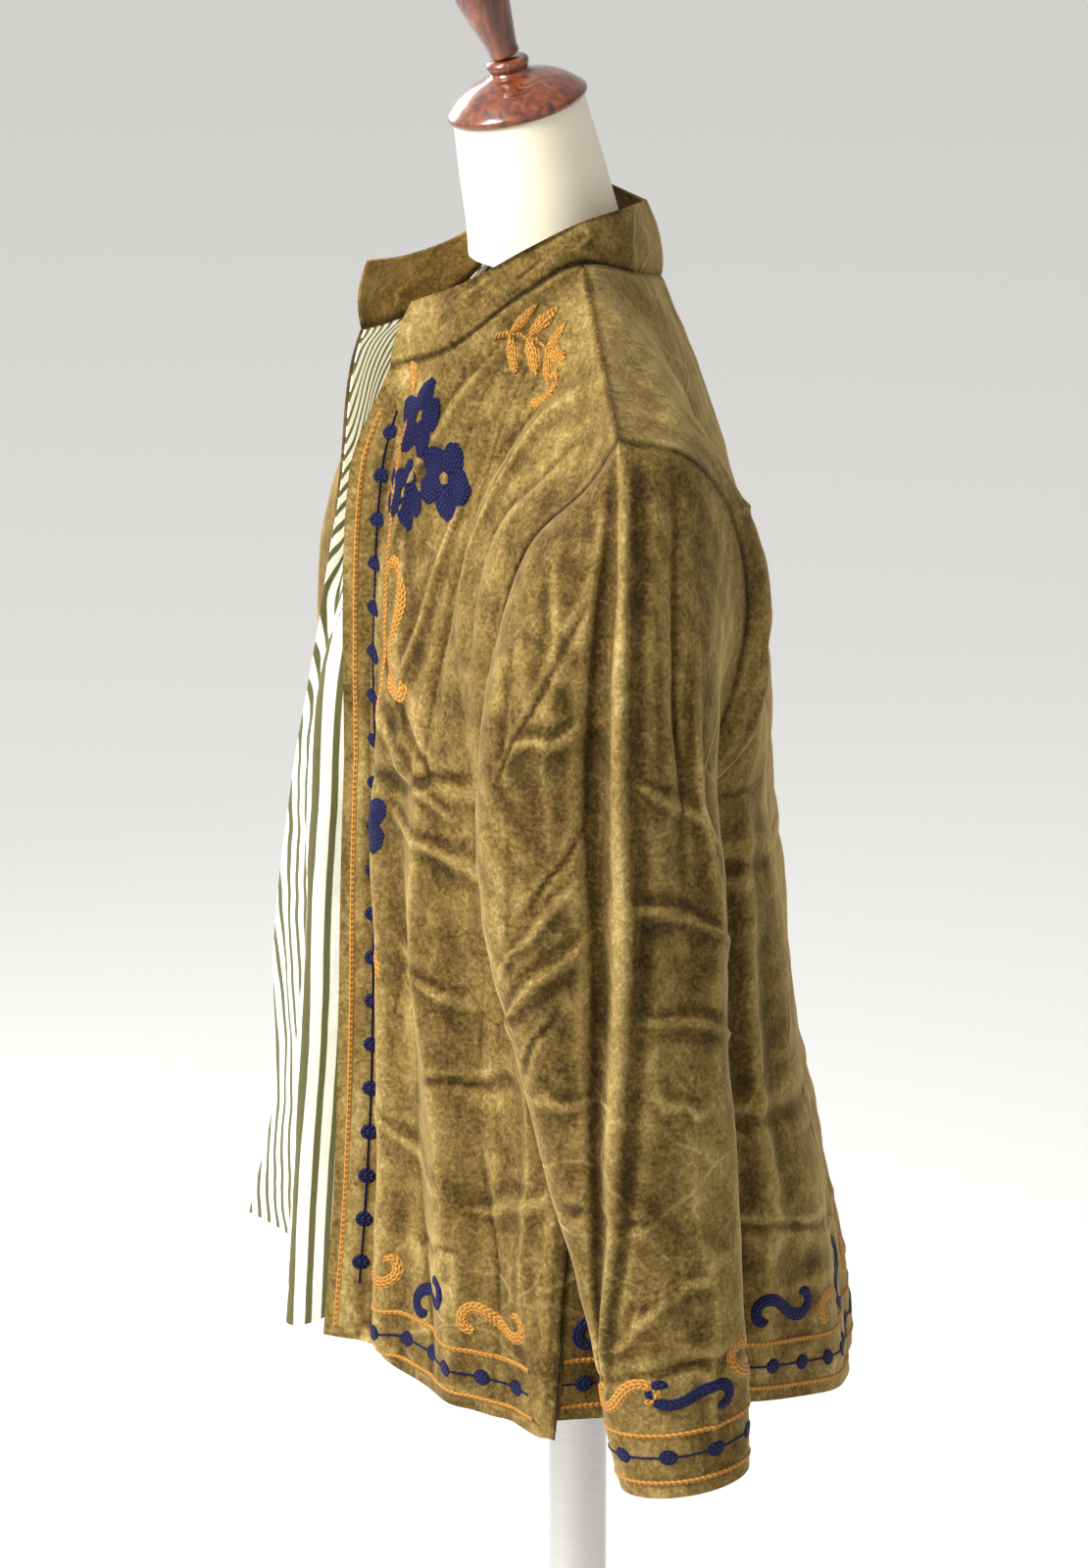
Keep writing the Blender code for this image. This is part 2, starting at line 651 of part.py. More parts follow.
def ring_points(centre, half, depth, tilt, power):
    """One ring of the form: a rounded section that can tilt forward."""
    made = []
    for step in range(FORM_SIDES):
        angle = 2.0 * math.pi * step / FORM_SIDES
        x = math.copysign(abs(math.sin(angle)) ** (2.0 / power), math.sin(angle)) * half
        y = -math.copysign(abs(math.cos(angle)) ** (2.0 / power), math.cos(angle)) * depth
        made.append(centre + np.array((x, y * math.cos(tilt), y * math.sin(tilt))))
    return made


def form_body(look):
    """Torso and neck of the form, closed at both ends."""
    rings = [ring_points(*ring) for ring in form_rings()]
    points = [p for ring in rings for p in ring]
    faces = []
    for level in range(len(rings) - 1):
        for step in range(FORM_SIDES):
            a = level * FORM_SIDES + step
            b = level * FORM_SIDES + (step + 1) % FORM_SIDES
            faces.append((a, b, b + FORM_SIDES, a + FORM_SIDES))
    top = (len(rings) - 1) * FORM_SIDES
    faces.append(tuple(range(FORM_SIDES))[::-1])
    faces.append(tuple(range(top, top + FORM_SIDES)))
    return mesh_object("form_body", points, faces, look)


def turned(name, profile, look, place, tilt, steps):
    """Solid turned about its own upright axis from a profile of radius and height."""
    points = [(radius, 0.0, height) for radius, height in profile]
    mesh = bpy.data.meshes.new(name)
    edges = [(i, i + 1) for i in range(len(points) - 1)]
    mesh.from_pydata(points, edges, [])
    mesh.materials.append(look)
    made = bpy.data.objects.new(name, mesh)
    PARTS.objects.link(made)
    screw = made.modifiers.new("turn", "SCREW")
    screw.axis = "Z"
    screw.angle = 2.0 * math.pi
    screw.steps = steps
    screw.render_steps = steps
    screw.use_merge_vertices = True
    screw.merge_threshold = 0.00005
    screw.use_smooth_shade = True
    made.location = place
    made.rotation_euler = (tilt, 0.0, 0.0)
    return made


def form_hardware(wood, metal):
    """Wooden neck cap and finial above, pole and round base below."""
    axis = np.array((0.0, -math.sin(NECK_TILT), math.cos(NECK_TILT)))
    cap_place = NECK_TOP + axis * SEAM_GAP
    turned("form_cap", CAP_PROFILE, wood, tuple(cap_place), NECK_TILT, 32)
    finial_place = cap_place + axis * (CAP_H + FINIAL_GAP)
    turned("form_finial", FINIAL_PROFILE, wood, tuple(finial_place), FINIAL_TILT, 24)
    foot = FORM[0][0] - SEAM_GAP
    pole = [(0.0, foot), (POLE_R, foot), (POLE_R, BASE_H + SEAM_GAP), (0.0, BASE_H + SEAM_GAP)]
    turned("form_pole", pole, metal, (0.0, 0.0, 0.0), 0.0, 24)
    base = [(0.0, BASE_H), (BASE_R - 2 * BASE_EDGE, BASE_H), (BASE_R, BASE_H - BASE_EDGE),
            (BASE_R, 0.0), (0.0, 0.0)]
    turned("form_base", base, metal, (0.0, 0.0, 0.0), 0.0, 48)


def trim(points, row=None, column=None, by=SEAM_GAP / 2):
    """Draw one edge row or column of a panel back along the cloth."""
    if column is None:
        edge, beside = points[row], points[1 if row == 0 else -2]
    else:
        edge, beside = points[:, column], points[:, 1 if column == 0 else -2]
    inward = beside - edge
    edge += inward / np.linalg.norm(inward, axis=-1, keepdims=True) * by


def share_seam(first, first_column, second, second_column):
    """Give two columns that meet at a side seam the same normals."""
    both = first[1][:, first_column] + second[1][:, second_column]
    both /= np.linalg.norm(both, axis=-1, keepdims=True)
    first[1][:, first_column] = both
    second[1][:, second_column] = both


def square_shoulder(panel, stations, x_side, neckline):
    """Turn the normals of a shoulder seam straight up from its slope."""
    seam = SHOULDER_END - smooth(neckline, NECK_POINT)
    up = np.array((-seam[2] * x_side, 0.0, seam[0])) / math.hypot(seam[0], seam[2])
    panel[1][0][stations > NECK_U - 1.0e-6] = up


def even(count):
    """Stations of a whole number of equal columns."""
    return np.linspace(0.0, 1.0, count + 1)


def body_panels():
    """Grids of the fronts and the back, whose side seams share their normals."""
    left = grid(front_left, even(FRONT_COLUMNS), ROWS)
    right = turned_round(*grid(front_right, even(OPEN_COLUMNS), ROWS))
    behind = turned_round(*grid(back, even(BACK_COLUMNS), ROWS))
    share_seam(left, -1, behind, 0)
    share_seam(right, 0, behind, -1)
    square_shoulder(left, even(FRONT_COLUMNS), 1, NECKLINE)
    square_shoulder(right, even(OPEN_COLUMNS)[::-1], -1, NECKLINE_RIGHT)
    across = 1.0 - 2.0 * even(BACK_COLUMNS)
    square_shoulder(behind, across, 1, NECKLINE)
    square_shoulder(behind, -across, -1, NECKLINE_RIGHT)
    return left, right, behind


def sleeve_panel(front, front_column, behind, behind_column, side):
    """A sleeve whose top edge shares its normals with the armhole round it."""
    stops = sorted(set(np.linspace(0.0, 1.0, 2 * ARMHOLE_ROWS + 1)[:-1]) | set(SLEEVE_FOLD_STOPS))
    sleeve = turned_round(*grid(sleeve_left, stops, SLEEVE_ROWS, closed=True))
    stops = np.array(stops)[::-1]
    if side < 0:
        sleeve = mirrored(*sleeve)
        stops = stops[::-1]
    rows = ARMHOLE_ROWS + 1
    down = front[1][:rows, front_column]
    up = behind[1][:rows, behind_column]
    loop = np.concatenate([down, up[-2::-1]])
    at = np.linspace(0.0, 1.0, len(loop))
    order = np.argsort(stops)
    own = sleeve[1][0]
    for index, t in enumerate(stops):
        body = np.array([np.interp(t, at, loop[:, axis]) for axis in range(3)])
        if np.dot(body, own[index]) > CREASE:
            own[index] = (body + own[index]) / np.linalg.norm(body + own[index])
    around = np.concatenate([own[order], own[order][:1]])
    placed = np.concatenate([stops[order], [1.0]])
    for panel, column, shares in ((front, front_column, 0.5 * even(ARMHOLE_ROWS)),
                                  (behind, behind_column, 1.0 - 0.5 * even(ARMHOLE_ROWS))):
        for row, t in enumerate(shares):
            shared = np.array([np.interp(t, placed, around[:, axis]) for axis in range(3)])
            if np.dot(shared, panel[1][row, column]) > CREASE:
                panel[1][row, column] = shared / np.linalg.norm(shared)
    return sleeve


def collar_panel():
    """The collar, with a station wherever a column of a panel meets it."""
    front = NECK_POINT * even(FRONT_COLUMNS // 3)
    opened = NECK_POINT * even(OPEN_COLUMNS // 3)
    rear = NECK_POINT + (1.0 - NECK_POINT) * even(BACK_COLUMNS // 6)
    left = np.concatenate([front[:-1], rear]) / 2
    right = 1.0 - np.concatenate([opened[:-1], rear[:-1]])[::-1] / 2
    points, normals = grid(collar_surface, np.concatenate([left, right]), COLLAR_ROWS)
    return points[::-1].copy(), -normals[::-1]


def soften(normals, rounds=2):
    """Even out the normals inside a panel, so that its walls stay parallel."""
    for _ in range(rounds):
        middle = normals[1:-1, 1:-1]
        beside = (normals[1:-1, :-2] + normals[1:-1, 2:] + normals[:-2, 1:-1] + normals[2:, 1:-1])
        middle = middle + 0.5 * beside
        normals[1:-1, 1:-1] = middle / np.linalg.norm(middle, axis=-1, keepdims=True)


def lining_points(right):
    """The right front's grid short of its side seam, drawn back at its edges."""
    points = right[0][:, LINING_COLUMNS_SHORT:].copy()
    normals = right[1][:, LINING_COLUMNS_SHORT:].copy()
    trim(points, row=0, by=LINING_TOP_INSET)
    trim(points, row=-1, by=LINING_HEM_INSET)
    trim(points, column=-1, by=LINING_EDGE_INSET)
    return points, normals


def build():
    velvet = material("velvet", VELVET_LOOK)
    lining = material("lining", LINING_LOOK)
    jersey = material("form_cloth", FORM_LOOK)
    wood = material("wood", WOOD_LOOK)
    metal = material("metal", METAL_LOOK, 1.0)
    left, right, behind = body_panels()
    sleeves = {
        "sleeve_left": sleeve_panel(left, -1, behind, 0, 1),
        "sleeve_right": sleeve_panel(right, 0, behind, -1, -1),
    }
    soften(right[1])
    inner = lining_points(right)
    for panel in (left, right, behind):
        trim(panel[0], row=0)
    trim(left[0], column=-1)
    trim(right[0], column=0)
    trim(behind[0], column=0)
    trim(behind[0], column=-1)
    wall_object("front_left", *left, VELVET, velvet)
    wall_object("front_right", *right, VELVET, velvet)
    under = -(VELVET + LINING_GAP)
    wall_object("lining_front_right", *inner, LINING, lining, lift=under)
    wall_object("back", *behind, VELVET, velvet)
    for name, sleeve in sleeves.items():
        trim(sleeve[0], row=0, by=SLEEVE_INSET[name])
        wall_object(name, *sleeve, VELVET, velvet, closed=True)
    collar = collar_panel()
    trim(collar[0], row=-1, by=COLLAR_RISE)
    wall_object("collar", *collar, COLLAR_CLOTH, velvet)
    form_body(jersey)
    form_hardware(wood, metal)


clear_scene()
PARTS = bpy.data.collections.new("jacket_on_form")
bpy.context.scene.collection.children.link(PARTS)
build()
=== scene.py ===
"""Looks of the open velvet jacket on its dress form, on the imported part's frame."""

import math

import bpy
import numpy as np
from mathutils import Matrix


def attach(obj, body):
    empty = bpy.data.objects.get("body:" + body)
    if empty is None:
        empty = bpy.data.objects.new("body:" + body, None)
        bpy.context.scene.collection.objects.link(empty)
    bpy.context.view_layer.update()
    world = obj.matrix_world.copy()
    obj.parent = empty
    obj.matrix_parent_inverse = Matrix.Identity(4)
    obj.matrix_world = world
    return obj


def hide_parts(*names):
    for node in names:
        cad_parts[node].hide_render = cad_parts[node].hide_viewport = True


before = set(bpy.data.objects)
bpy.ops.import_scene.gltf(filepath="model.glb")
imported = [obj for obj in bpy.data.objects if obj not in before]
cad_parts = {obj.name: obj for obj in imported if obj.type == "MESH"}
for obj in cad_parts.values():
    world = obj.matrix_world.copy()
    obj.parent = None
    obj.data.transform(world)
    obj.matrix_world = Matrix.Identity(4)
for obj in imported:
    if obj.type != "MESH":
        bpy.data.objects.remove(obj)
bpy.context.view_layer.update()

TINY = 1.0e-9

# Cloth
VELVET = 0.0020
COLLAR_BULGE = 0.0035
SEAM_GAP = 0.0003

# Levels of the body, as parts of each column from its top edge to the hem
UNDERARM_Z = 1.140
UNDERARM_V = 0.40
FALL = 1.1                # how steeply the columns fall at the underarm
FALL_OUTWARD = 0.1
BODY_AXIS = np.array((0.0, -0.03))
# How the cloth leaves its top edge: degrees below level and reach in metres
LEAVE_FRONT = (70.0, 0.20)
LEAVE_BACK = (58.0, 0.14)
LEAVE_SHOULDER = (12.0, 0.13)
NECK_U = 1.0 / 3.0        # share of a front's top edge that is neckline

# Neckline of the left half, from the front edge to the middle of the back
NECKLINE = (
    # along, x, y, z
    (0.00, 0.045, -0.1205, 1.3760),
    (0.25, 0.078, -0.0920, 1.3935),
    (0.50, 0.087, -0.0500, 1.4260),
    (0.70, 0.075, -0.0130, 1.4376),
    (0.84, 0.052, 0.0210, 1.4260),
    (1.00, 0.000, 0.0490, 1.4100),
)
# On the right the neckline is pulled open and sits lower
NECKLINE_RIGHT = (
    (0.00, 0.045, -0.1205, 1.3760),
    (0.25, 0.076, -0.0940, 1.3740),
    (0.50, 0.090, -0.0540, 1.3880),
    (0.70, 0.080, -0.0140, 1.4240),
    (0.84, 0.055, 0.0200, 1.4210),
    (1.00, 0.000, 0.0490, 1.4100),
)
NECK_POINT = 0.70         # where the shoulder seam meets the neckline
NECK_TURN = 60.0          # degrees by which the columns turn outward at the neck point
NECK_TURN_OPEN = 75.0     # the same on the side that is pulled open
NECK_TURN_AT = 0.28
NECK_TURN_WIDTH = 0.14
CORNER_REACH = 0.18       # how far to each side the corner there is rounded
CORNER_SHARES = (1.0, 2.0, 3.0, 2.0, 1.0)
# Upper edge of the collar, at the same stations
COLLAR_TOP = (
    (0.00, 0.041, -0.1070, 1.4125),
    (0.25, 0.066, -0.0800, 1.4290),
    (0.50, 0.070, -0.0440, 1.4480),
    (0.70, 0.064, -0.0120, 1.4600),
    (0.84, 0.046, 0.0150, 1.4620),
    (1.00, 0.000, 0.0400, 1.4555),
)
COLLAR_TOP_RIGHT = (
    (0.00, 0.042, -0.1170, 1.4175),
    (0.25, 0.067, -0.0860, 1.4140),
    (0.50, 0.078, -0.0500, 1.4240),
    (0.70, 0.073, -0.0130, 1.4510),
    (0.84, 0.049, 0.0150, 1.4590),
    (1.00, 0.000, 0.0400, 1.4555),
)
SHOULDER_END = np.array((0.220, -0.0255, 1.3731))
UNDERARM = np.array((0.178, -0.0300, UNDERARM_Z))

ARMHOLE_FROM = 0.35       # the armhole's shape begins this far across

# Seams of the left armhole, from the shoulder end down to the underarm
ARMHOLE_FRONT = (
    # along, x, y, z
    (0.00, *SHOULDER_END),
    (0.18, 0.208, -0.0400, 1.3440),
    (0.40, 0.190, -0.0700, 1.3060),
    (0.65, 0.176, -0.0820, 1.2350),
    (0.85, 0.172, -0.0640, 1.1720),
    (1.00, *UNDERARM),
)
ARMHOLE_BACK = (
    (0.00, *SHOULDER_END),
    (0.18, 0.214, 0.0150, 1.3600),
    (0.40, 0.192, 0.0470, 1.3140),
    (0.65, 0.178, 0.0560, 1.2350),
    (0.85, 0.174, 0.0300, 1.1700),
    (1.00, *UNDERARM),
)

# Level sections of the body below the underarm
BODY = (
    # z, half width, front, back, side seam's y, roundness of the front
    (1.140, 0.178, -0.1370, 0.1110, -0.030, 2.30),
    (1.080, 0.187, -0.1405, 0.1170, -0.034, 2.00),
    (1.000, 0.202, -0.1445, 0.1250, -0.042, 1.70),
    (0.880, 0.220, -0.1520, 0.1450, -0.056, 1.40),
    (0.780, 0.232, -0.1630, 0.1620, -0.066, 1.25),
    (0.740, 0.236, -0.1670, 0.1660, -0.070, 1.22),
)
BACK_ROUNDNESS = 2.15     # 2 is an ellipse, more is squarer
FRONT_HEM_Z = 0.786
BACK_HEM_SIDE_Z = 0.795
BACK_HEM_MIDDLE_Z = 0.752
VENT_GAP = 0.004          # opening of a side vent at the hem
VENT_TOP_Z = 0.905
VENT_FROM = 0.85          # the cloth is drawn aside from here to the side seam
VENT_BACK_SHARE = 0.6     # the back's edge moves less than the front's

# Left front edge: its last strip turns out from a valley
FRONT_START = 0.115       # where a closed front's edge lies on a level section
STRIP = 0.055             # share of the front's width that is turned out
STRIP_TURN = 0.011
STRIP_SHIFT = 0.003
STRIP_FROM = 0.12         # part of the height over which the turn comes in

# Soft folds of the body
FOLDS_FROM = 0.12         # they begin this far down and are whole a bit lower
FOLDS_GROW = 0.30
FRONT_FOLDS = (
    # across at top, across at hem, width, depth at top, depth at hem
    (0.16, 0.10, 0.050, -0.002, -0.007),
    (0.34, 0.42, 0.070, 0.002, 0.008),
    (0.62, 0.66, 0.070, -0.003, -0.006),
    (0.86, 0.84, 0.060, 0.001, 0.004),
)
BACK_FOLDS = (
    (0.22, 0.20, 0.080, 0.000, -0.006),
    (0.45, 0.44, 0.080, 0.002, 0.006),
    (0.70, 0.70, 0.080, -0.002, -0.006),
)

# Right front: it swings open from the neck, so that its lining shows
OPEN_STATIONS = (0.00, 0.13, 0.36, 0.44, 0.66, 1.00)
OPEN_FRONT = (
    # part of the height, edge xy, back fold xy, near fold xy, inner fold xy
    (0.00, -0.050, -0.122, -0.078, -0.090, -0.085, -0.015, -0.102, -0.015),
    (0.10, -0.055, -0.128, -0.082, -0.108, -0.110, -0.040, -0.119, -0.041),
    (0.18, -0.064, -0.131, -0.078, -0.119, -0.106, -0.078, -0.116, -0.076),
    (0.26, -0.074, -0.136, -0.075, -0.125, -0.078, -0.108, -0.092, -0.096),
    (0.36, -0.088, -0.142, -0.077, -0.130, -0.053, -0.137, -0.056, -0.115),
    (0.50, -0.112, -0.150, -0.084, -0.137, -0.050, -0.145, -0.052, -0.122),
    (0.70, -0.140, -0.157, -0.100, -0.143, -0.052, -0.151, -0.054, -0.127),
    (0.86, -0.152, -0.155, -0.112, -0.145, -0.052, -0.158, -0.054, -0.134),
    (1.00, -0.168, -0.169, -0.124, -0.150, -0.050, -0.164, -0.053, -0.139),
)
OPEN_FROM = 0.16          # the neckline's shape fades out by here
OPEN_FOLDS_FROM = 0.55    # only the part beside the side seam keeps the folds of a front
OPEN_FOLDS_GROW = 0.20
OPEN_TENSION = 0.8        # below 1 the curve through the stations is tighter
CHEST_IN = np.array((0.000, 0.006))
NEAR_FOLD_DROP = 0.030    # the near fold hangs lower than the hem beside it
NEAR_FOLD_WIDTH = 0.14

# Sleeves
SLEEVE = (
    # z, centre x, centre y, half across, half fore and aft
    (1.375, 0.190, -0.025, 0.034, 0.038),
    (1.320, 0.214, -0.031, 0.042, 0.052),
    (1.250, 0.230, -0.039, 0.046, 0.061),
    (1.140, 0.243, -0.041, 0.046, 0.070),
    (1.000, 0.253, -0.026, 0.043, 0.060),
    (0.910, 0.262, -0.012, 0.038, 0.051),
    (0.830, 0.269, -0.002, 0.035, 0.042),
    (0.765, 0.272, 0.004, 0.031, 0.037),
)
CUFF_FRONT_Z = 0.769
CUFF_BACK_Z = 0.779
SLEEVE_BLEND = 0.24       # the armhole's shape fades out by here
# Long fold down the outside: the rear lobe stands over a recessed front lobe
SLEEVE_FOLD_PATH = (
    # down the sleeve, around it: 0 outside, 0.25 in front
    (0.00, 0.000),
    (0.30, 0.000),
    (0.45, 0.004),
    (0.60, 0.045),
    (0.72, 0.098),
    (0.85, 0.200),
    (1.00, 0.260),
)
SLEEVE_FOLD_END = 0.90    # the fold runs out above the cuff
SLEEVE_FOLD_FADE = 0.14
SLEEVE_FOLD_STEP = 0.022
SLEEVE_FOLD_WIDTH = 0.170
SLEEVE_FOLD_DEPTH = 0.015
SLEEVE_LOBE = 0.004       # the rear lobe stands out by this much
SLEEVE_LOBE_AT = -0.03
SLEEVE_LOBE_WIDTH = 0.06

# Dress form
FORM_CLEAR = 0.0050       # room under the shoulder for lining, and for its flat faces
FORM_ROUNDNESS = 2.4      # 2 is an ellipse, more is squarer
FORM = (
    # z, half width, front, back
    (0.765, 0.158, -0.104, 0.104),
    (0.800, 0.163, -0.106, 0.110),
    (0.870, 0.164, -0.104, 0.108),
    (0.930, 0.146, -0.093, 0.090),
    (0.990, 0.128, -0.084, 0.074),
    (1.050, 0.130, -0.092, 0.074),
    (1.110, 0.137, -0.103, 0.080),
    (1.170, 0.143, -0.110, 0.084),
    (1.230, 0.146, -0.104, 0.080),
    (1.290, 0.154, -0.086, 0.062),
    (1.330, 0.156, -0.064, 0.044),
    (1.365, 0.150, -0.046, 0.020),
    (1.380, 0.146, -0.040, 0.008),
)
FORM_SHOULDER = (
    # z, front, back; the width follows the shoulder seam above it
    (1.3940, -0.036, -0.002),
    (1.4050, -0.035, 0.002),
    (1.4150, -0.027, 0.008),
)
NECK_BASE = np.array((0.0, -0.0170, 1.4270))
NECK_TOP = np.array((0.0, -0.0357, 1.5136))
NECK_BASE_R = 0.0475
NECK_TOP_R = 0.0385
NECK_RINGS = (
    # share of the neck's height, share of its base radius
    (0.00, 1.00),
    (0.25, 0.93),
    (0.60, 0.88),
    (1.00, NECK_TOP_R / NECK_BASE_R),
)
NECK_TILT = math.radians(14.0)
FORM_SIDES = 96
CAP_H = 0.030
FINIAL_GAP = 0.0012       # from the cap's top to the tilted finial's foot
FINIAL_TILT = math.radians(21.0)
# Fine grids of the visual cloth
FRONT_FINE = (160, 210)
OPEN_FINE = (150, 190)
LINING_FINE = (110, 150)
BACK_FINE = (200, 200)
SLEEVE_FINE = (190, 210)
COLLAR_FINE = (260, 26)
CLOTH_SHARP = 60.0        # degrees above which an edge shows as sharp
FORM_SHARP = 42.0
SHELL = 0.0016
LINING_SHELL = 0.0008
LINING_DROP = 0.0021

# Creases: where each starts and ends, in hundredths of its panel, and its size in millimetres
HUNDREDTH = 0.01
MM = 0.001
FRONT_CREASES = (
    # across, down, to across, to down, width, depth
    (24, 7, 10, 20, 9, 2.6),
    (46, 10, 24, 34, 11, 5),
    (60, 8, 42, 38, 10, -4.2),
    (70, 6, 62, 30, 10, 3.6),
    (84, 8, 74, 30, 10, -3),
    (14, 22, 34, 40, 10, 3.4),
    (12, 30, 42, 38, 6, -3),
    (10, 34, 48, 41, 6, 2.8),
    (16, 40, 60, 37, 7, -3.2),
    (24, 43, 56, 45.5, 5, 2.2),
    (30, 44, 80, 47, 8, 2.2),
    (36, 38, 46, 98, 20, 5.8),
    (28, 44, 33, 98, 16, -4.6),
    (56, 42, 60, 98, 20, -5.8),
    (76, 45, 76, 92, 18, 4.4),
    (22, 56, 52, 60, 6, 2),
    (34, 68, 70, 66, 6, -2.2),
    (14, 74, 40, 79, 6, 1.8),
    (50, 80, 86, 76, 6, 2),
    (26, 86, 44, 84, 5, -1.4),
)
BACK_CREASES = (
    (20, 6, 36, 26, 14, 3),
    (80, 6, 64, 26, 14, 3),
    (6, 29, 44, 33, 7, -3),
    (60, 31, 94, 27, 7, -3),
    (10, 47, 60, 50, 7, -2.8),
    (56, 48, 96, 46, 7, -3),
    (30, 73, 70, 75, 6, -2),
    (62, 72, 97, 70, 8, -3.4),
    (2, 80, 30, 78, 8, -3),
    (66, 84, 92, 80, 6, -2.2),
    (50, 86, 78, 89, 7, 1.8),
    (24, 36, 20, 98, 22, 5.5),
    (38, 34, 36, 98, 20, -5),
    (50, 40, 52, 98, 22, 4),
    (66, 36, 67, 98, 20, -5),
    (80, 34, 81, 98, 18, 5.5),
    (91, 10, 90, 70, 14, -4),
    (97, 16, 80, 22, 5, 2.6),
    (98, 60, 84, 61.5, 5, 2.6),
    (97, 66, 86, 66, 5, -2.2),
)
SLEEVE_CREASES = (
    # around, down, to around, to down, width, depth
    (3, 43.5, 26, 47, 5, 4),
    (5, 38, 20, 42, 5, 2),
    (3, 33, 13, 38, 5, -2),
    (10, 49, 24, 53, 5, -1.8),
    (-24, 42, -1.5, 41.5, 4, 3.6),
    (-22, 52, -1.5, 52.5, 4, 3),
    (-20, 32, -3, 30, 6, 2.4),
    (5, 14, 19, 22, 5, -2),
    (4, 24, 16, 20, 6, 2.6),
    (-10, 62, -1, 60, 7, 2),
    (3, 60, 20, 56, 5, 2),
    (3, 72, 18, 68, 5, -1.8),
    (2, 80, 16, 84, 5, 1.8),
    (-12, 76, 0, 80, 8, 2),
    (-10, 88, 1, 86, 7, -2),
    (-8, 6, -10, 40, 10, -3.6),
    (-14, 16, -13, 60, 12, 4),
    (12, 8, 9, 34, 10, 2),
    (20, 10, 16, 40, 10, -1.8),
    (-6, 66, -5, 96, 10, 2.6),
    (40, 30, 60, 34, 8, -3),
    (40, 48, 62, 46, 8, 2.6),
    (38, 64, 60, 68, 8, -3),
)
COLLAR_CREASES = (
    (10, 20, 16, 90, 10, 1.2),
    (22, 10, 27, 80, 12, -1.4),
    (34, 20, 36, 95, 10, 1.2),
    (70, 10, 66, 80, 12, -1.4),
    (88, 20, 84, 90, 10, 1.2),
)
OPEN_CREASES = (
    (62, 10, 58, 90, 20, 3),
    (80, 36, 84, 95, 20, -3),
    (70, 30, 95, 40, 10, 2.4),
    (3, 95.8, 97, 95.8, 2.6, 0.7),
    (22, 50, 20, 95, 10, -2),
    (6, 30, 5, 90, 8, 1.6),
)

# How creases and waves are shaped
CREASE_SHARP = 1.4        # 2 is a round crease, less is sharper
CREASE_BESIDE = 0.20      # depth of the hollow beside a crease, as a share of it
CREASE_BOW = 0.03         # how far a crease bows, as a share of its length
CREASE_WANDER = 0.25      # how far it wanders, as a share of its width
CREASE_END = 0.15         # how far past its ends it runs out, as a share of its length
CREASE_FADE = 0.4
WAVES = (
    # length, height
    (0.13, 0.0009),
    (0.07, 0.0003),
    (0.036, 0.00015),
    (0.018, 0.0001),
)
WAVES_EACH = 3
CALM_COLLAR = 0.5         # share of the waves that the collar goes without

# Shapes that run the length of a panel
SLEEVE_LIPS = (
    # past the fold's line, width, height
    (-0.006, 0.010, 0.0032),
    (0.024, 0.014, -0.0050),
    (-0.034, 0.014, -0.0016),
)
FRONT_LIPS = (
    # across, width, height
    (0.086, 0.026, -0.0090),
    (0.170, 0.045, 0.0105),
)
CUFF_SEAM = ((0.868, 0.006, -0.0014),)
EDGE_FADE = 0.05          # creases fade out this close to a panel's edge, as a share of it
HEM_FADE = 0.02
# Places where columns crowd together, which stay still and are evened out
STILL_ROUNDS = 30
STILL_FROM = 0.03         # the top edge itself isn't evened out
NECK_STILL = (
    # across, down, half across, half down
    (0.35, 0.03, 0.13, 0.12),
    (0.37, 0.18, 0.10, 0.10),
)
BACK_STILL = (
    (0.33, 0.02, 0.07, 0.10),
    (0.67, 0.02, 0.07, 0.10),
)
SEAM_DEPTH = 0.0003
SEAM_WIDTH = 0.0028
SEAM_SHADE = 1.6          # how much painted shade darkens the velvet along a seam
RIDGE_ROUNDS = 60         # what is left after this much evening out isn't a ridge
# The ridges measured with these rows are painted into the velvet's colour: painted light on ridges, painted
# shade in hollows
RIDGES = (
    # rounds of evening out, height of a whole ridge
    (3, 0.00012),
    (14, 0.0006),
)

# Stitching
PLACE_FROM = 0.9          # the search for a place on a panel starts this far down
PLACE_ROUNDS = 4
STITCH_SECTION = (
    # across from the middle as a share of the half width, height
    (-1.0, -0.0003),
    (-0.8, 0.00054),
    (0.0, 0.0009),
    (0.8, 0.00054),
    (1.0, -0.0003),
)
STITCH_STEP = 0.0025      # between the points of a line of stitches
STITCH_LENGTH = 0.0034
STITCH_ROW = 0.0022       # between rows of stitches
JOIN_HALF = 0.0007        # half the width of the line that joins the dots
LINE_HALF = 0.0016
# Heights of the bands above a hem, and what they are made of
BORDER_LOW = 0.008
BORDER_DOTS = 0.021
BORDER_HIGH = 0.035
BORDER_SCROLLS = 0.056
DOT_PITCH = 0.0265
DOT_R = 0.0052
CUFF_DOTS = 0.025
CUFF_LOW = 0.009
CUFF_LINE = 0.039
EDGE_TOP = 0.570          # the front edge's band ends here, below the collar
EDGE_DROP = 0.028         # its outer line starts this much lower
HEM_END = 0.004           # the band stops this far from a side seam
SCROLL_PITCH = 0.060
SCROLL = (0.040, 0.0085)  # length and width
SCROLL_POINTS = 56
SCROLL_POWER = 2.1        # above 1 a scroll winds up toward its ends
PETALS = 5
PETAL_HALF = 0.46         # half a petal's width, as a share of the flower's radius
STEM_HALF = 0.0013
STEM_BOW = 0.10           # how far a stem bows, as a share of its length
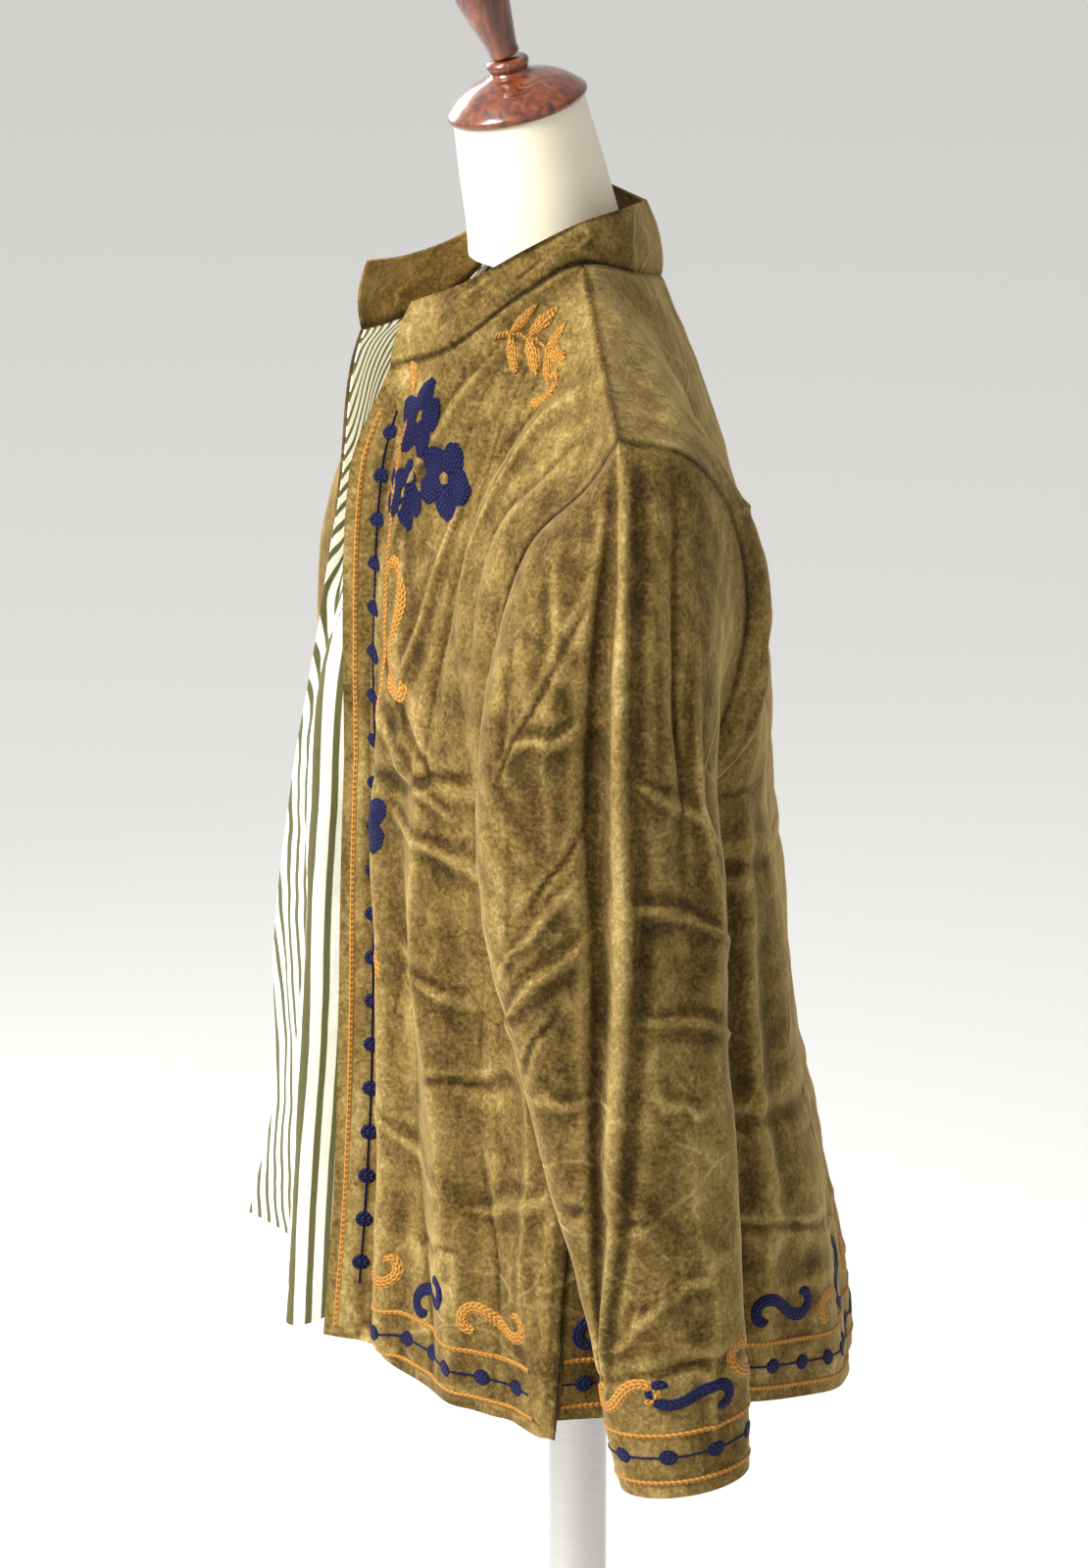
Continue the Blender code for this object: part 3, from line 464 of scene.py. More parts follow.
# Gold motifs by the neck, in metres from the edge and above the hem
NECK_SPRIG = ((0.098, 0.630), (0.150, 0.634), 0.026, 3)   # foot, tip, a leaf's length, pairs of leaves
NECK_CURL = ((0.160, 0.612), 0.030, 0.0065, 0.8, True)    # centre, length, width, lean, one curled end
NECK_LEAF = ((0.018, 0.600), (0.034, 0.586), 0.004)       # foot, tip, half width
FRONT_FLOWERS = (
    # from the edge, above the hem, radius, turn
    (0.050, 0.572, 0.024, 0.4),
    (0.086, 0.544, 0.023, 1.2),
    (0.048, 0.526, 0.020, 0.0),
    (0.046, 0.328, 0.022, 0.7),
)
FRONT_SCROLLS = (
    # from the edge, above the hem, length, lean, hand
    (0.054, 0.447, 0.062, 1.2, 1.0),
    (0.046, 0.215, 0.058, 1.9, -1.0),
)
FRONT_SCROLL_WIDTH = 0.0095
FRONT_SCROLL_WIND = 4.0
CUFF_SCROLLS = (
    # thread, round the cuff, above the hem, length, width, lean
    ("gold", 0.036, 0.062, 0.034, 0.0078, -0.9),
    ("navy", -0.003, 0.061, 0.036, 0.0078, -0.4),
    ("gold", 0.084, 0.061, 0.038, 0.0080, 0.4),
    ("navy", 0.130, 0.061, 0.038, 0.0080, 0.2),
    ("gold", 0.176, 0.061, 0.036, 0.0080, 0.4),
)

# Looks
VELVET_COLOURS = (
    # how light the nap lies, with the painted shading of ridges, hollows and seams mixed in, colour
    (0.34, (0.018, 0.0095, 0.002)),
    (0.43, (0.070, 0.041, 0.010)),
    (0.50, (0.155, 0.098, 0.027)),
    (0.57, (0.270, 0.182, 0.056)),
    (0.68, (0.520, 0.390, 0.160)),
)
# Colour of each thread in painted shade between its loops and in painted highlight on their crests
GOLD = ((0.28, 0.11, 0.016), (0.66, 0.33, 0.060))
NAVY = ((0.002, 0.002, 0.018), (0.010, 0.011, 0.085))
STRIPE_PITCH = 0.0098
STRIPE_SHARE = 0.40
STRIPE_SOFT = 0.02        # half the width over which a stripe's edge blurs, as a share of the pitch
STRIPES_FROM = 0.40       # the stripes run along this column of the lining

# Camera and lights
CAMERA_AZ = 78.0
CAMERA_EL = 17.5
CAMERA_AT = (4.3505, -0.9456, 2.5075)
CAMERA_LENS = 261.55
LIGHTS = (
    # name, metres to the right of the middle, up and toward the camera, width, watts
    ("key", -2.3, 1.6, 1.7, 1.2, 170.0),
    ("fill", 2.0, 0.6, 2.0, 2.0, 3.0),
    ("rim", -1.4, 1.4, -1.8, 1.2, 30.0),
)
LIGHTS_MIDDLE = (0.05, 0.0, 1.15)
FLOOR = 30.0              # half the floor's width
# Strength of the light all round: in front of the jacket, beside it and behind it
WORLD_LIGHT = ((0.0, 0.30), (0.5, 0.74), (1.0, 0.95))

# Turned parts of the form, as radius and height from the top down
CAP_PROFILE = (
    (0.0, 0.0298), (0.0102, 0.0298), (0.0118, 0.0288), (0.0126, 0.0268), (0.0118, 0.0240),
    (0.0108, 0.0225), (0.0118, 0.0208), (0.0150, 0.0196), (0.0200, 0.0182), (0.0260, 0.0160),
    (0.0312, 0.0130), (0.0352, 0.0098), (0.0384, 0.0066), (0.0404, 0.0048), (0.0412, 0.0034),
    (0.0412, 0.0020), (0.0402, 0.0004), (0.0392, 0.0), (0.0, 0.0),
)
FINIAL_PROFILE = (
    (0.0, 0.0780), (0.0060, 0.0765), (0.0105, 0.0720), (0.0140, 0.0620), (0.0158, 0.0480),
    (0.0150, 0.0360), (0.0118, 0.0200), (0.0088, 0.0060), (0.0080, 0.0004), (0.0, 0.0),
)
POLE_PROFILE = (
    (0.0, 0.7647), (0.0172, 0.7647), (0.0175, 0.7640), (0.0175, 0.0190), (0.0172, 0.0183), (0.0, 0.0183),
)
BASE_PROFILE = (
    (0.0, 0.0180), (0.1550, 0.0180), (0.1590, 0.0174), (0.1625, 0.0158), (0.1644, 0.0138),
    (0.1650, 0.0120), (0.1650, 0.0008), (0.1644, 0.0), (0.0, 0.0),
)


# Curves and directions
def curve(start, end, rise, fall, s):
    """Smooth curve from start to end at the share s, with its slopes at both ends."""
    return (start * (2 * s**3 - 3 * s**2 + 1) + rise * (s**3 - 2 * s**2 + s)
            + end * (3 * s**2 - 2 * s**3) + fall * (s**3 - s**2))


def span_of(stops, t):
    """The span of the stops that t lies in, its width and the share of it that is passed."""
    at = np.clip(np.searchsorted(stops, t, side="right") - 1, 0, len(stops) - 2)
    step = stops[at + 1] - stops[at]
    return at, step[..., None], ((t - stops[at]) / step)[..., None]


def smooth(rows, t):
    """Smooth curve through rows whose first column is the station."""
    table = np.array(rows, dtype=float)
    order = np.argsort(table[:, 0])
    stops, values = table[order, 0], table[order, 1:]
    slopes = np.gradient(values, stops, axis=0)
    t = np.clip(np.asarray(t, dtype=float), stops[0], stops[-1])
    at, step, share = span_of(stops, t)
    return curve(values[at], values[at + 1], slopes[at] * step, slopes[at + 1] * step, share)


def ease(t):
    """Soft step from 0 to 1."""
    t = np.clip(t, 0.0, 1.0)
    return t * t * (3.0 - 2.0 * t)


def unit(ways):
    """The same directions with a length of one."""
    return ways / np.maximum(np.linalg.norm(ways, axis=-1, keepdims=True), TINY)


def walked(points, axis=0):
    """Metres walked from the start of a path, or along one axis of a grid of points."""
    steps = np.linalg.norm(np.diff(points, axis=axis), axis=-1)
    start = np.zeros_like(np.take(steps, [0], axis=axis))
    return np.concatenate([start, np.cumsum(steps, axis=axis)], axis=axis)


def bumps(rows, at):
    """Sum of soft ridges and valleys, from rows of middle, width and height."""
    return sum(height * np.exp(-((at - middle) / width) ** 2) for middle, width, height in rows)


# Surfaces of the cloth
def body_point(z, across, side):
    """Point on the level section at z: across 0 is the middle, 1 the side seam.

    side is -1 for the front half of the section and +1 for the back half.
    """
    half, front, back, seam, roundness = np.moveaxis(smooth(BODY, z), -1, 0)
    reach = (front if side < 0 else back) - seam
    power = roundness if side < 0 else BACK_ROUNDNESS
    share = np.clip(np.sin(across * math.pi / 2), 0.0, 1.0)
    y = seam + reach * (1.0 - share ** power) ** (1.0 / power)
    return np.stack([half * share, y, z + 0 * y], axis=-1)


def top_edge(across, side, neckline):
    """Neckline and then shoulder seam of one half, from the middle out."""
    if side < 0:
        along = across / NECK_U * NECK_POINT
    else:
        along = 1.0 - across / NECK_U * (1.0 - NECK_POINT)
    along = np.where(across < NECK_U, along, NECK_POINT)
    neck = smooth(neckline, along)
    neck_point = smooth(neckline, NECK_POINT)
    out = np.clip((across - NECK_U) / (1.0 - NECK_U), 0.0, 1.0)[..., None]
    seam = neck_point + (SHOULDER_END - neck_point) * out
    return np.where((across < NECK_U)[..., None], neck, seam)


def lean(across, side, neck_turn):
    """Direction and reach in which the cloth leaves its top edge."""
    steep, middle = LEAVE_FRONT if side < 0 else LEAVE_BACK
    flat, end = LEAVE_SHOULDER
    share = ease(across / (NECK_U * 1.15))
    angle = np.radians(steep + (flat - steep) * share)
    reach = middle + (end - middle) * share
    turn = np.radians(neck_turn) * np.exp(-((across - NECK_TURN_AT) / NECK_TURN_WIDTH) ** 2)
    way = np.stack([np.sin(turn) * np.cos(angle), side * np.cos(turn) * np.cos(angle),
                    -np.sin(angle)], axis=-1)
    return way * reach[..., None]


def folds(table, across, down):
    """Depth of the soft folds, from their rows."""
    rows = [(top + (hem - top) * down, width, shallow + (deep - shallow) * down)
            for top, hem, width, shallow, deep in table]
    return bumps(rows, across) * ease((down - FOLDS_FROM) / FOLDS_GROW)


def rounded_top(across, s, side, neckline):
    """The top edge, whose corner at the neck point is rounded off further down."""
    reach = CORNER_REACH * ease(s / 0.3) * ease(across / 0.2) * ease((1.0 - across) / 0.3)
    spots = np.linspace(-1.0, 1.0, len(CORNER_SHARES))
    made = sum(share * top_edge(across + spot * reach, side, neckline)
               for share, spot in zip(CORNER_SHARES, spots))
    return made / sum(CORNER_SHARES)


def column(across, s, side, neckline):
    """Upper part of a column: from the top edge to the underarm level."""
    top = rounded_top(across, s, side, neckline)
    start = FRONT_START if side < 0 else 0.0
    under = body_point(UNDERARM_Z + 0 * across, start + (1.0 - start) * across, side)
    drop = (top - under)[..., 2:3]
    out = FALL_OUTWARD * (under - top)[..., :1]
    fall = np.concatenate([out, 0 * drop, -FALL * drop], axis=-1)
    opened = side < 0 and neckline is NECKLINE_RIGHT
    leave = lean(across, side, NECK_TURN_OPEN if opened else NECK_TURN)
    return curve(top, under, leave, fall, s[..., None])


def half_body(across, down, side, neckline):
    """One half of the front (side -1) or back (side +1), on the wearer's left."""
    s = np.clip(down / UNDERARM_V, 0.0, 1.0)
    upper = column(across, s, side, neckline)
    seam = smooth(ARMHOLE_FRONT if side < 0 else ARMHOLE_BACK, s)
    edge = column(np.ones_like(across), s, side, neckline)
    share = ease((across - ARMHOLE_FROM) / (1.0 - ARMHOLE_FROM))
    upper = upper + (seam - edge) * share[..., None]
    start = FRONT_START if side < 0 else 0.0
    if side < 0:
        hem = FRONT_HEM_Z + 0 * across
    else:
        hem = BACK_HEM_MIDDLE_Z + (BACK_HEM_SIDE_Z - BACK_HEM_MIDDLE_Z) * ease(across)
    low = np.clip((down - UNDERARM_V) / (1.0 - UNDERARM_V), 0.0, 1.0)
    z = UNDERARM_Z + (hem - UNDERARM_Z) * low
    lower = body_point(z, start + (1.0 - start) * across, side)
    return np.where((down <= UNDERARM_V)[..., None], upper, lower)


def vent_shift(made, across, side):
    """Draw the two edges of a side vent apart below its top."""
    open_part = np.clip((VENT_TOP_Z - made[..., 2]) / (VENT_TOP_Z - FRONT_HEM_Z), 0.0, 1.0)
    near = ease((across - VENT_FROM) / (1.0 - VENT_FROM))
    shift = np.zeros_like(made)
    lap = 1.0 if side < 0 else -VENT_BACK_SHARE
    shift[..., 0] = lap * VENT_GAP * open_part * near
    return made + shift


def outward(made, depth):
    """Move points away from the body's upright axis by depth."""
    flat = made[..., :2] - BODY_AXIS
    way = np.concatenate([unit(flat), 0 * flat[..., :1]], axis=-1)
    return made + way * depth[..., None]


def front_left(u, v):
    """u runs from the front edge to the armhole and side, v from top to hem."""
    made = half_body(u, v, -1, NECKLINE)
    made = outward(made, folds(FRONT_FOLDS, u, v))
    made = vent_shift(made, u, -1)
    turn = np.clip(1.0 - u / STRIP, 0.0, 1.0) * ease(v / STRIP_FROM)
    made[..., 1] -= STRIP_TURN * turn
    made[..., 0] += STRIP_SHIFT * turn
    return made


def back(u, v):
    """u runs from the right side to the left side."""
    across = np.abs(2.0 * u - 1.0)
    left = half_body(across, v, 1, NECKLINE)
    right = half_body(across, v, 1, NECKLINE_RIGHT)
    made = np.where((u < 0.5)[..., None], right, left)
    made = outward(made, folds(BACK_FOLDS, across, v))
    made = vent_shift(made, across, 1)
    made[..., 0] *= np.where(u < 0.5, -1.0, 1.0)
    return made


def front_right(u, v):
    """The swung-open front: u runs from its free edge to the armhole and side."""
    plain = half_body(u, v, -1, NECKLINE_RIGHT)
    kept = ease((u - OPEN_FOLDS_FROM) / OPEN_FOLDS_GROW)
    plain = outward(plain, folds(FRONT_FOLDS, u, v) * kept)
    plain = vent_shift(plain, u, -1)
    plain[..., 0] *= -1.0
    rows = smooth(OPEN_FRONT, v)
    chest = plain_station(OPEN_STATIONS[4], v)
    side = plain_station(1.0, v)
    stations = [rows[..., 0:2], rows[..., 2:4], rows[..., 4:6], rows[..., 6:8], chest, side]
    opened = plain.copy()
    opened[..., :2] = along_stations(OPEN_STATIONS, stations, u)
    amount = ease(v / OPEN_FROM) * ease((1.0 - u) / (1.0 - OPEN_STATIONS[4]))
    made = plain + (opened - plain) * amount[..., None]
    lower_half = ease((v - 0.5) / 0.5)
    dip = np.exp(-((u - OPEN_STATIONS[2]) / NEAR_FOLD_WIDTH) ** 2) * lower_half
    made[..., 2] -= NEAR_FOLD_DROP * dip
    return made


def plain_station(across, v):
    """Plan position of the unopened right front at one column."""
    plain = half_body(across + 0 * v, v, -1, NECKLINE_RIGHT)
    xy = plain[..., :2] * np.array((-1.0, 1.0))
    if across < 1.0:
        xy = xy + CHEST_IN * ease(v / OPEN_FROM)[..., None]
    return xy


def along_stations(stops, values, t):
    """Smooth curve through stations that are themselves grids."""
    values = np.stack(values, axis=0)
    stops = np.array(stops)
    slopes = np.gradient(values, stops, axis=0) * OPEN_TENSION
    at, step, share = span_of(stops, t)

    def pick(source, index):
        return np.take_along_axis(source, index[None, ..., None], axis=0)[0]

    return curve(pick(values, at), pick(values, at + 1), pick(slopes, at) * step,
                 pick(slopes, at + 1) * step, share)


def armhole(t):
    """Left armhole seam: 0 at the shoulder, 0.5 at the underarm, back up to 1."""
    down = np.where(t < 0.5, 2.0 * t, 2.0 - 2.0 * t)
    front = smooth(ARMHOLE_FRONT, down)
    rear = smooth(ARMHOLE_BACK, down)
    return np.where((t < 0.5)[..., None], front, rear)


def past_fold(t, v):
    """How far round the sleeve a place lies from the long fold's line."""
    return (t - smooth(SLEEVE_FOLD_PATH, v)[..., 0] + 0.5) % 1.0 - 0.5


def sleeve_left(t, v):
    """t runs round the sleeve from its outer line by the front, v to the cuff."""
    start = armhole(t % 1.0)
    angle = 2.0 * math.pi * t
    cuff = 0.5 * (CUFF_FRONT_Z + CUFF_BACK_Z) - 0.5 * (CUFF_BACK_Z - CUFF_FRONT_Z) * np.sin(angle)
    z = start[..., 2] + (cuff - start[..., 2]) * v
    centre_x, centre_y, across, along = np.moveaxis(smooth(SLEEVE, z), -1, 0)
    away = past_fold(t, v)
    valley = ease(away / SLEEVE_FOLD_STEP) * np.clip(1.0 - away / SLEEVE_FOLD_WIDTH, 0.0, 1.0)
    lobe = np.exp(-((away - SLEEVE_LOBE_AT) / SLEEVE_LOBE_WIDTH) ** 2)
    grow = ease((v - 0.02) / 0.2) * (1.0 - 0.4 * v) * ease((SLEEVE_FOLD_END - v) / SLEEVE_FOLD_FADE)
    depth = (SLEEVE_FOLD_DEPTH * valley - SLEEVE_LOBE * lobe) * grow
    x = centre_x + (across - depth) * np.cos(angle)
    y = centre_y - along * np.sin(angle)
    ring = np.stack([x, y, z], axis=-1)
    share = 1.0 - np.clip(1.0 - v / SLEEVE_BLEND, 0.0, 1.0) ** 2
    return start + (ring - start) * share[..., None]


def collar_surface(u, v):
    """u runs from the left front edge round the back to the right one."""
    along = 1.0 - np.abs(2.0 * u - 1.0)
    left = (u < 0.5)[..., None]
    low = np.where(left, smooth(NECKLINE, along), smooth(NECKLINE_RIGHT, along))
    high = np.where(left, smooth(COLLAR_TOP, along), smooth(COLLAR_TOP_RIGHT, along))
    made = low + (high - low) * v[..., None]
    made = outward(made, COLLAR_BULGE * np.sin(math.pi * v))
    made[..., 0] *= np.where(u < 0.5, 1.0, -1.0)
    return made


# Dress form's sections
def form_rings():
    """Rings of the dress form's body from its underside to the top of its neck."""
    rings = []
    for z, half, front, rear in FORM:
        centre = np.array((0.0, (front + rear) / 2, z))
        rings.append((centre, half, (rear - front) / 2, 0.0, FORM_ROUNDNESS))
    neck_x, _, neck_z = smooth(NECKLINE_RIGHT, NECK_POINT)
    slope = (neck_z - SHOULDER_END[2]) / (SHOULDER_END[0] - neck_x)
    under = (VELVET + FORM_CLEAR) / math.cos(math.atan(slope))
    for z, front, rear in FORM_SHOULDER:
        half = neck_x + (neck_z - under - z) / slope
        rings.append((np.array((0.0, (front + rear) / 2, z)), half, (rear - front) / 2, 0.0, 2.0))
    for share, radius_share in NECK_RINGS:
        centre = NECK_BASE + (NECK_TOP - NECK_BASE) * share
        radius = NECK_BASE_R * radius_share
        rings.append((centre, radius, radius, NECK_TILT * share, 2.0))
    return rings


def ring_points(centre, half, depth, tilt, power):
    """One ring of the form: a rounded section that can tilt forward."""
    made = []
    for step in range(FORM_SIDES):
        angle = 2.0 * math.pi * step / FORM_SIDES
        x = math.copysign(abs(math.sin(angle)) ** (2.0 / power), math.sin(angle)) * half
        y = -math.copysign(abs(math.cos(angle)) ** (2.0 / power), math.cos(angle)) * depth
        made.append(centre + np.array((x, y * math.cos(tilt), y * math.sin(tilt))))
    return made


# Creases
def sleeve_shape(u, v):
    """The lip of the sleeve's long fold, the hollow beside it and the cuff band's seam."""
    grow = ease((v - 0.02) / 0.12) * ease((SLEEVE_FOLD_END - v) / 0.06)
    return bumps(SLEEVE_LIPS, past_fold(u, v)) * grow + bumps(CUFF_SEAM, v)


def front_shape(u, v):
    """The sharp valley behind the left front's turned strip and the ridge past it."""
    return bumps(FRONT_LIPS, u) * ease((v - 0.22) / 0.3)


def waves(points, seed):
    """Small uneven undulation of cloth, as a sum of a few slanted sines."""
    draw = np.random.default_rng(seed)
    height = np.zeros(points.shape[:-1])
    for size, depth in WAVES:
        for _ in range(WAVES_EACH):
            way = unit(draw.normal(size=3))
            phase = draw.uniform(0.0, 2.0 * math.pi)
            height += depth * np.sin(points @ way * (2.0 * math.pi / size) + phase)
    return height


def creases(table, u, v, points, closed=False):
    """Depth of the creases, with ends that fade and a width that wanders."""
    total = np.zeros(u.shape)
    across, down = scale_of(points, u, v, closed)
    for number, row in enumerate(table):
        u0, v0, u1, v1 = (HUNDREDTH * value for value in row[:4])
        width, depth = (MM * value for value in row[4:])
        shift = (u - u0 + 0.5) % 1.0 - 0.5 if closed else u - u0
        x, y = shift * across, (v - v0) * down
        bx, by = (u1 - u0) * across, (v1 - v0) * down
        length2 = bx * bx + by * by
        t = (x * bx + y * by) / length2
        length = np.sqrt(length2)
        wander = CREASE_WANDER * width * np.sin(11.0 * t + 2.1 * number)
        bow = CREASE_BOW * length * np.sin(3.0 * t)
        off = (x * by - y * bx) / length + wander + bow
        wide = width * (0.75 + 0.35 * np.sin(5.0 * t + number))
        ends = ease((t + CREASE_END) / CREASE_FADE) * ease((1.0 + CREASE_END - t) / CREASE_FADE)
        beside = np.exp(-((off - 1.7 * wide) / wide) ** 2)
        total += depth * (np.exp(-np.abs(off / wide) ** CREASE_SHARP) - CREASE_BESIDE * beside) * ends
    return total


def scale_of(points, u, v, closed):
    """Metres for a whole turn of u and of v, at every point."""
    du = np.linalg.norm(np.gradient(points, axis=1), axis=-1) / np.gradient(u, axis=1)
    dv = np.linalg.norm(np.gradient(points, axis=0), axis=-1) / np.gradient(v, axis=0)
    return np.clip(du, 0.05, 2.0), np.clip(dv, 0.05, 2.0)


def evened(grid, closed, rounds):
    """A grid whose values are averaged with the ones beside them, a few times over."""
    for _ in range(rounds):
        wide = np.pad(grid, ((1, 1), (1, 1), (0, 0)), mode="edge")
        if closed:
            wide[1:-1, 0] = grid[:, -2]
            wide[1:-1, -1] = grid[:, 1]
        grid = (wide[:-2, 1:-1] + wide[2:, 1:-1] + wide[1:-1, :-2] + wide[1:-1, 2:] + 2.0 * grid) / 6.0
    return grid


def from_edges(points):
    """Metres of every point from the first and the last column and from the top row."""
    along = walked(points, axis=1)
    return {"first": along, "last": along[:, -1:] - along, "top": walked(points)}


class Panel:
    """A piece of cloth as a function of its own coordinates, with its creases."""

    def __init__(self, surface, fine, table, seed, closed=False, flip=False, mirror=False, calm=0.0,
                 still=(), seams=(), shape=None):
        self.closed, self.flip = closed, flip
        self.u = np.linspace(0.0, 1.0, fine[0] + 1)
        self.v = np.linspace(0.0, 1.0, fine[1] + 1)
        uu, vv = np.meshgrid(self.u, self.v)
        points = surface(uu, vv)
        if mirror:
            points = points * np.array((-1.0, 1.0, 1.0))
        fade = self.edge_fade(uu, vv)
        for u0, v0, across, down in still:
            near = np.exp(-((uu - u0) / across) ** 2 - ((vv - v0) / down) ** 2)
            fade = fade * (1.0 - near)
            inside = near * ease(vv / STILL_FROM)
            points = points + (evened(points, closed, STILL_ROUNDS) - points) * inside[..., None]
        depth = creases(table, uu, vv, points, closed) + waves(points, seed) * (1.0 - calm)
        if shape:
            depth = depth + shape(uu, vv)
        distances = from_edges(points)
        seam = sum(np.exp(-(distances[side] / SEAM_WIDTH) ** 2) for side in seams)
        depth = depth * fade - SEAM_DEPTH * seam
        if closed:
            depth[:, -1] = depth[:, 0]
        normals = evened(self.normals_of(points), closed, 3)
        self.points = points + normals * depth[..., None]
        self.normals = unit(evened(self.normals_of(self.points), closed, 2))
        # Painted light and shade for the velvet's colour: lighter on ridges, darker in hollows and, by
        # SEAM_SHADE, along seams
        self.painted_relief_shading = self.ridges() - SEAM_SHADE * seam

    def edge_fade(self, u, v):
        """1 inside the panel and 0 along its edges, where the creases have faded out."""
        fade = ease(v / EDGE_FADE) * ease((1.0 - v) / HEM_FADE)
        if not self.closed:
            fade = fade * ease(u / EDGE_FADE) * ease((1.0 - u) / EDGE_FADE)
        return fade

    def ridges(self):
        """How far each place stands out from the cloth round it, from -1 to 1."""
        total = np.zeros(self.points.shape[:2])
        for rounds, size in RIDGES:
            out = ((self.points - evened(self.points, self.closed, rounds)) * self.normals).sum(axis=-1)
            out = out - evened(out[..., None], self.closed, RIDGE_ROUNDS)[..., 0]
            total += 0.5 * np.tanh(out / size)
        total[0], total[-1] = total[1], total[-2]
        return total

    def normals_of(self, points):
        """Way out of the cloth at every point of a grid."""
        du = np.gradient(points, axis=1)
        if self.closed:
            around = points[:, 1] - points[:, -2]
            du[:, 0] = around
            du[:, -1] = around
        dv = np.gradient(points, axis=0)
        return unit(np.cross(du, dv) if self.flip else np.cross(dv, du))

    def at(self, u, v, lift=0.0):
        """Points on the panel, moved out by lift, and the normals there."""
        u = np.asarray(u, dtype=float)
        v = np.clip(np.asarray(v, dtype=float), 0.0, 1.0)
        u = u % 1.0 if self.closed else np.clip(u, 0.0, 1.0)
        x = u * (len(self.u) - 1)
        y = v * (len(self.v) - 1)
        i = np.clip(x.astype(int), 0, len(self.u) - 2)
        j = np.clip(y.astype(int), 0, len(self.v) - 2)
        a, b = (x - i)[..., None], (y - j)[..., None]

        def blend(source):
            return ((source[j, i] * (1 - a) + source[j, i + 1] * a) * (1 - b)
                    + (source[j + 1, i] * (1 - a) + source[j + 1, i + 1] * a) * b)

        normal = unit(blend(self.normals))
        return blend(self.points) + normal * np.asarray(lift)[..., None], normal

    def flat_uv(self):
        """Metres along each row from its first column, and down each column."""
        distances = from_edges(self.points)
        return distances["first"], distances["top"]


# Meshes
def mesh_piece(name, points, faces, looks, sharp=None):
    """A smooth mesh object with one look, or with more that its faces pick from later."""
    mesh = bpy.data.meshes.new(name)
    mesh.from_pydata(np.asarray(points, dtype=float).tolist(), [], faces)
    for look in looks:
        mesh.materials.append(look)
    mesh.shade_smooth()
    if sharp:
        mesh.set_sharp_from_angle(angle=math.radians(sharp))
    return linked(name, mesh)


def linked(name, data):
    """An object in the scene that shows the data."""
    made = bpy.data.objects.new(name, data)
    bpy.context.scene.collection.objects.link(made)
    return made


def set_uvs(piece, layer, uvs):
    """UVs of every face's corners, in metres."""
    made = piece.data.uv_layers.new(name=layer)
    made.data.foreach_set("uv", np.array(uvs, dtype=float).ravel())


def shell(name, panel, thickness, looks, drop=0.0, stripes_from=0.0):
    """Thin closed wall on a panel, with metres along the cloth as its UVs.

    The first look is the outer face's, and the last one the inner face's.
    """
    rows, columns = panel.points.shape[:2]
    outer = panel.points - panel.normals * drop
    inner = outer - panel.normals * thickness
    along, down = panel.flat_uv()
    along = along - along[:, int(stripes_from * (columns - 1))][:, None]
    store = columns - 1 if panel.closed else columns
    points = np.concatenate([side[:, :store].reshape(-1, 3) for side in (outer, inner)])
    faces, uvs, inside = [], [], []

    def add(corners, layers, flip, look):
        way = -1 if flip else 1
        faces.append([row * store + column % store + layer * rows * store
                      for (row, column), layer in zip(corners, layers)][::way])
        uvs.extend([(along[corner], -down[corner]) for corner in corners][::way])
        inside.append(look)

    for row in range(rows - 1):
        for column in range(columns - 1):
            corners = [(row, column), (row + 1, column), (row + 1, column + 1), (row, column + 1)]
            add(corners, (0, 0, 0, 0), panel.flip, 0)
            add(corners, (1, 1, 1, 1), not panel.flip, len(looks) - 1)
    rims = [([(0, column) for column in range(columns)], panel.flip),
            ([(rows - 1, column) for column in range(columns)], not panel.flip)]
    if not panel.closed:
        rims += [([(row, 0) for row in range(rows)], not panel.flip),
                 ([(row, columns - 1) for row in range(rows)], panel.flip)]
    for rim, flip in rims:
        for here, after in zip(rim, rim[1:]):
            add([here, after, after, here], (0, 0, 1, 1), flip, 0)
    made = mesh_piece(name, points, faces, looks, CLOTH_SHARP)
    made.data.polygons.foreach_set("material_index", inside)
    set_uvs(made, "cloth", uvs)
    # The painted shading of ridges, hollows and seams, which the velvet's colour reads
    kept = made.data.attributes.new("painted_relief_shading", "FLOAT", "POINT")
    kept.data.foreach_set("value", np.tile(panel.painted_relief_shading[:, :store].ravel(), 2))
    return made


def panels():
    """All pieces of cloth as panels, by name."""
    opened = dict(table=OPEN_CREASES, seed=2, flip=True, still=NECK_STILL)
    tube = dict(closed=True, seams=("top",), shape=sleeve_shape)
    return {
        "front_left": Panel(front_left, FRONT_FINE, FRONT_CREASES, 1, still=NECK_STILL,
                            seams=("top", "last"), shape=front_shape),
        "front_right": Panel(front_right, OPEN_FINE, seams=("top", "last"), **opened),
        "lining": Panel(front_right, LINING_FINE, **opened),
        "back": Panel(back, BACK_FINE, BACK_CREASES, 3, flip=True, seams=("top", "first", "last"),
                      still=BACK_STILL),
        "sleeve_left": Panel(sleeve_left, SLEEVE_FINE, SLEEVE_CREASES, 4, flip=True, **tube),
        "sleeve_right": Panel(sleeve_left, SLEEVE_FINE, SLEEVE_CREASES, 5, mirror=True, **tube),
        "collar": Panel(collar_surface, COLLAR_FINE, COLLAR_CREASES, 6, calm=CALM_COLLAR, flip=True,
                        seams=("top",)),
    }


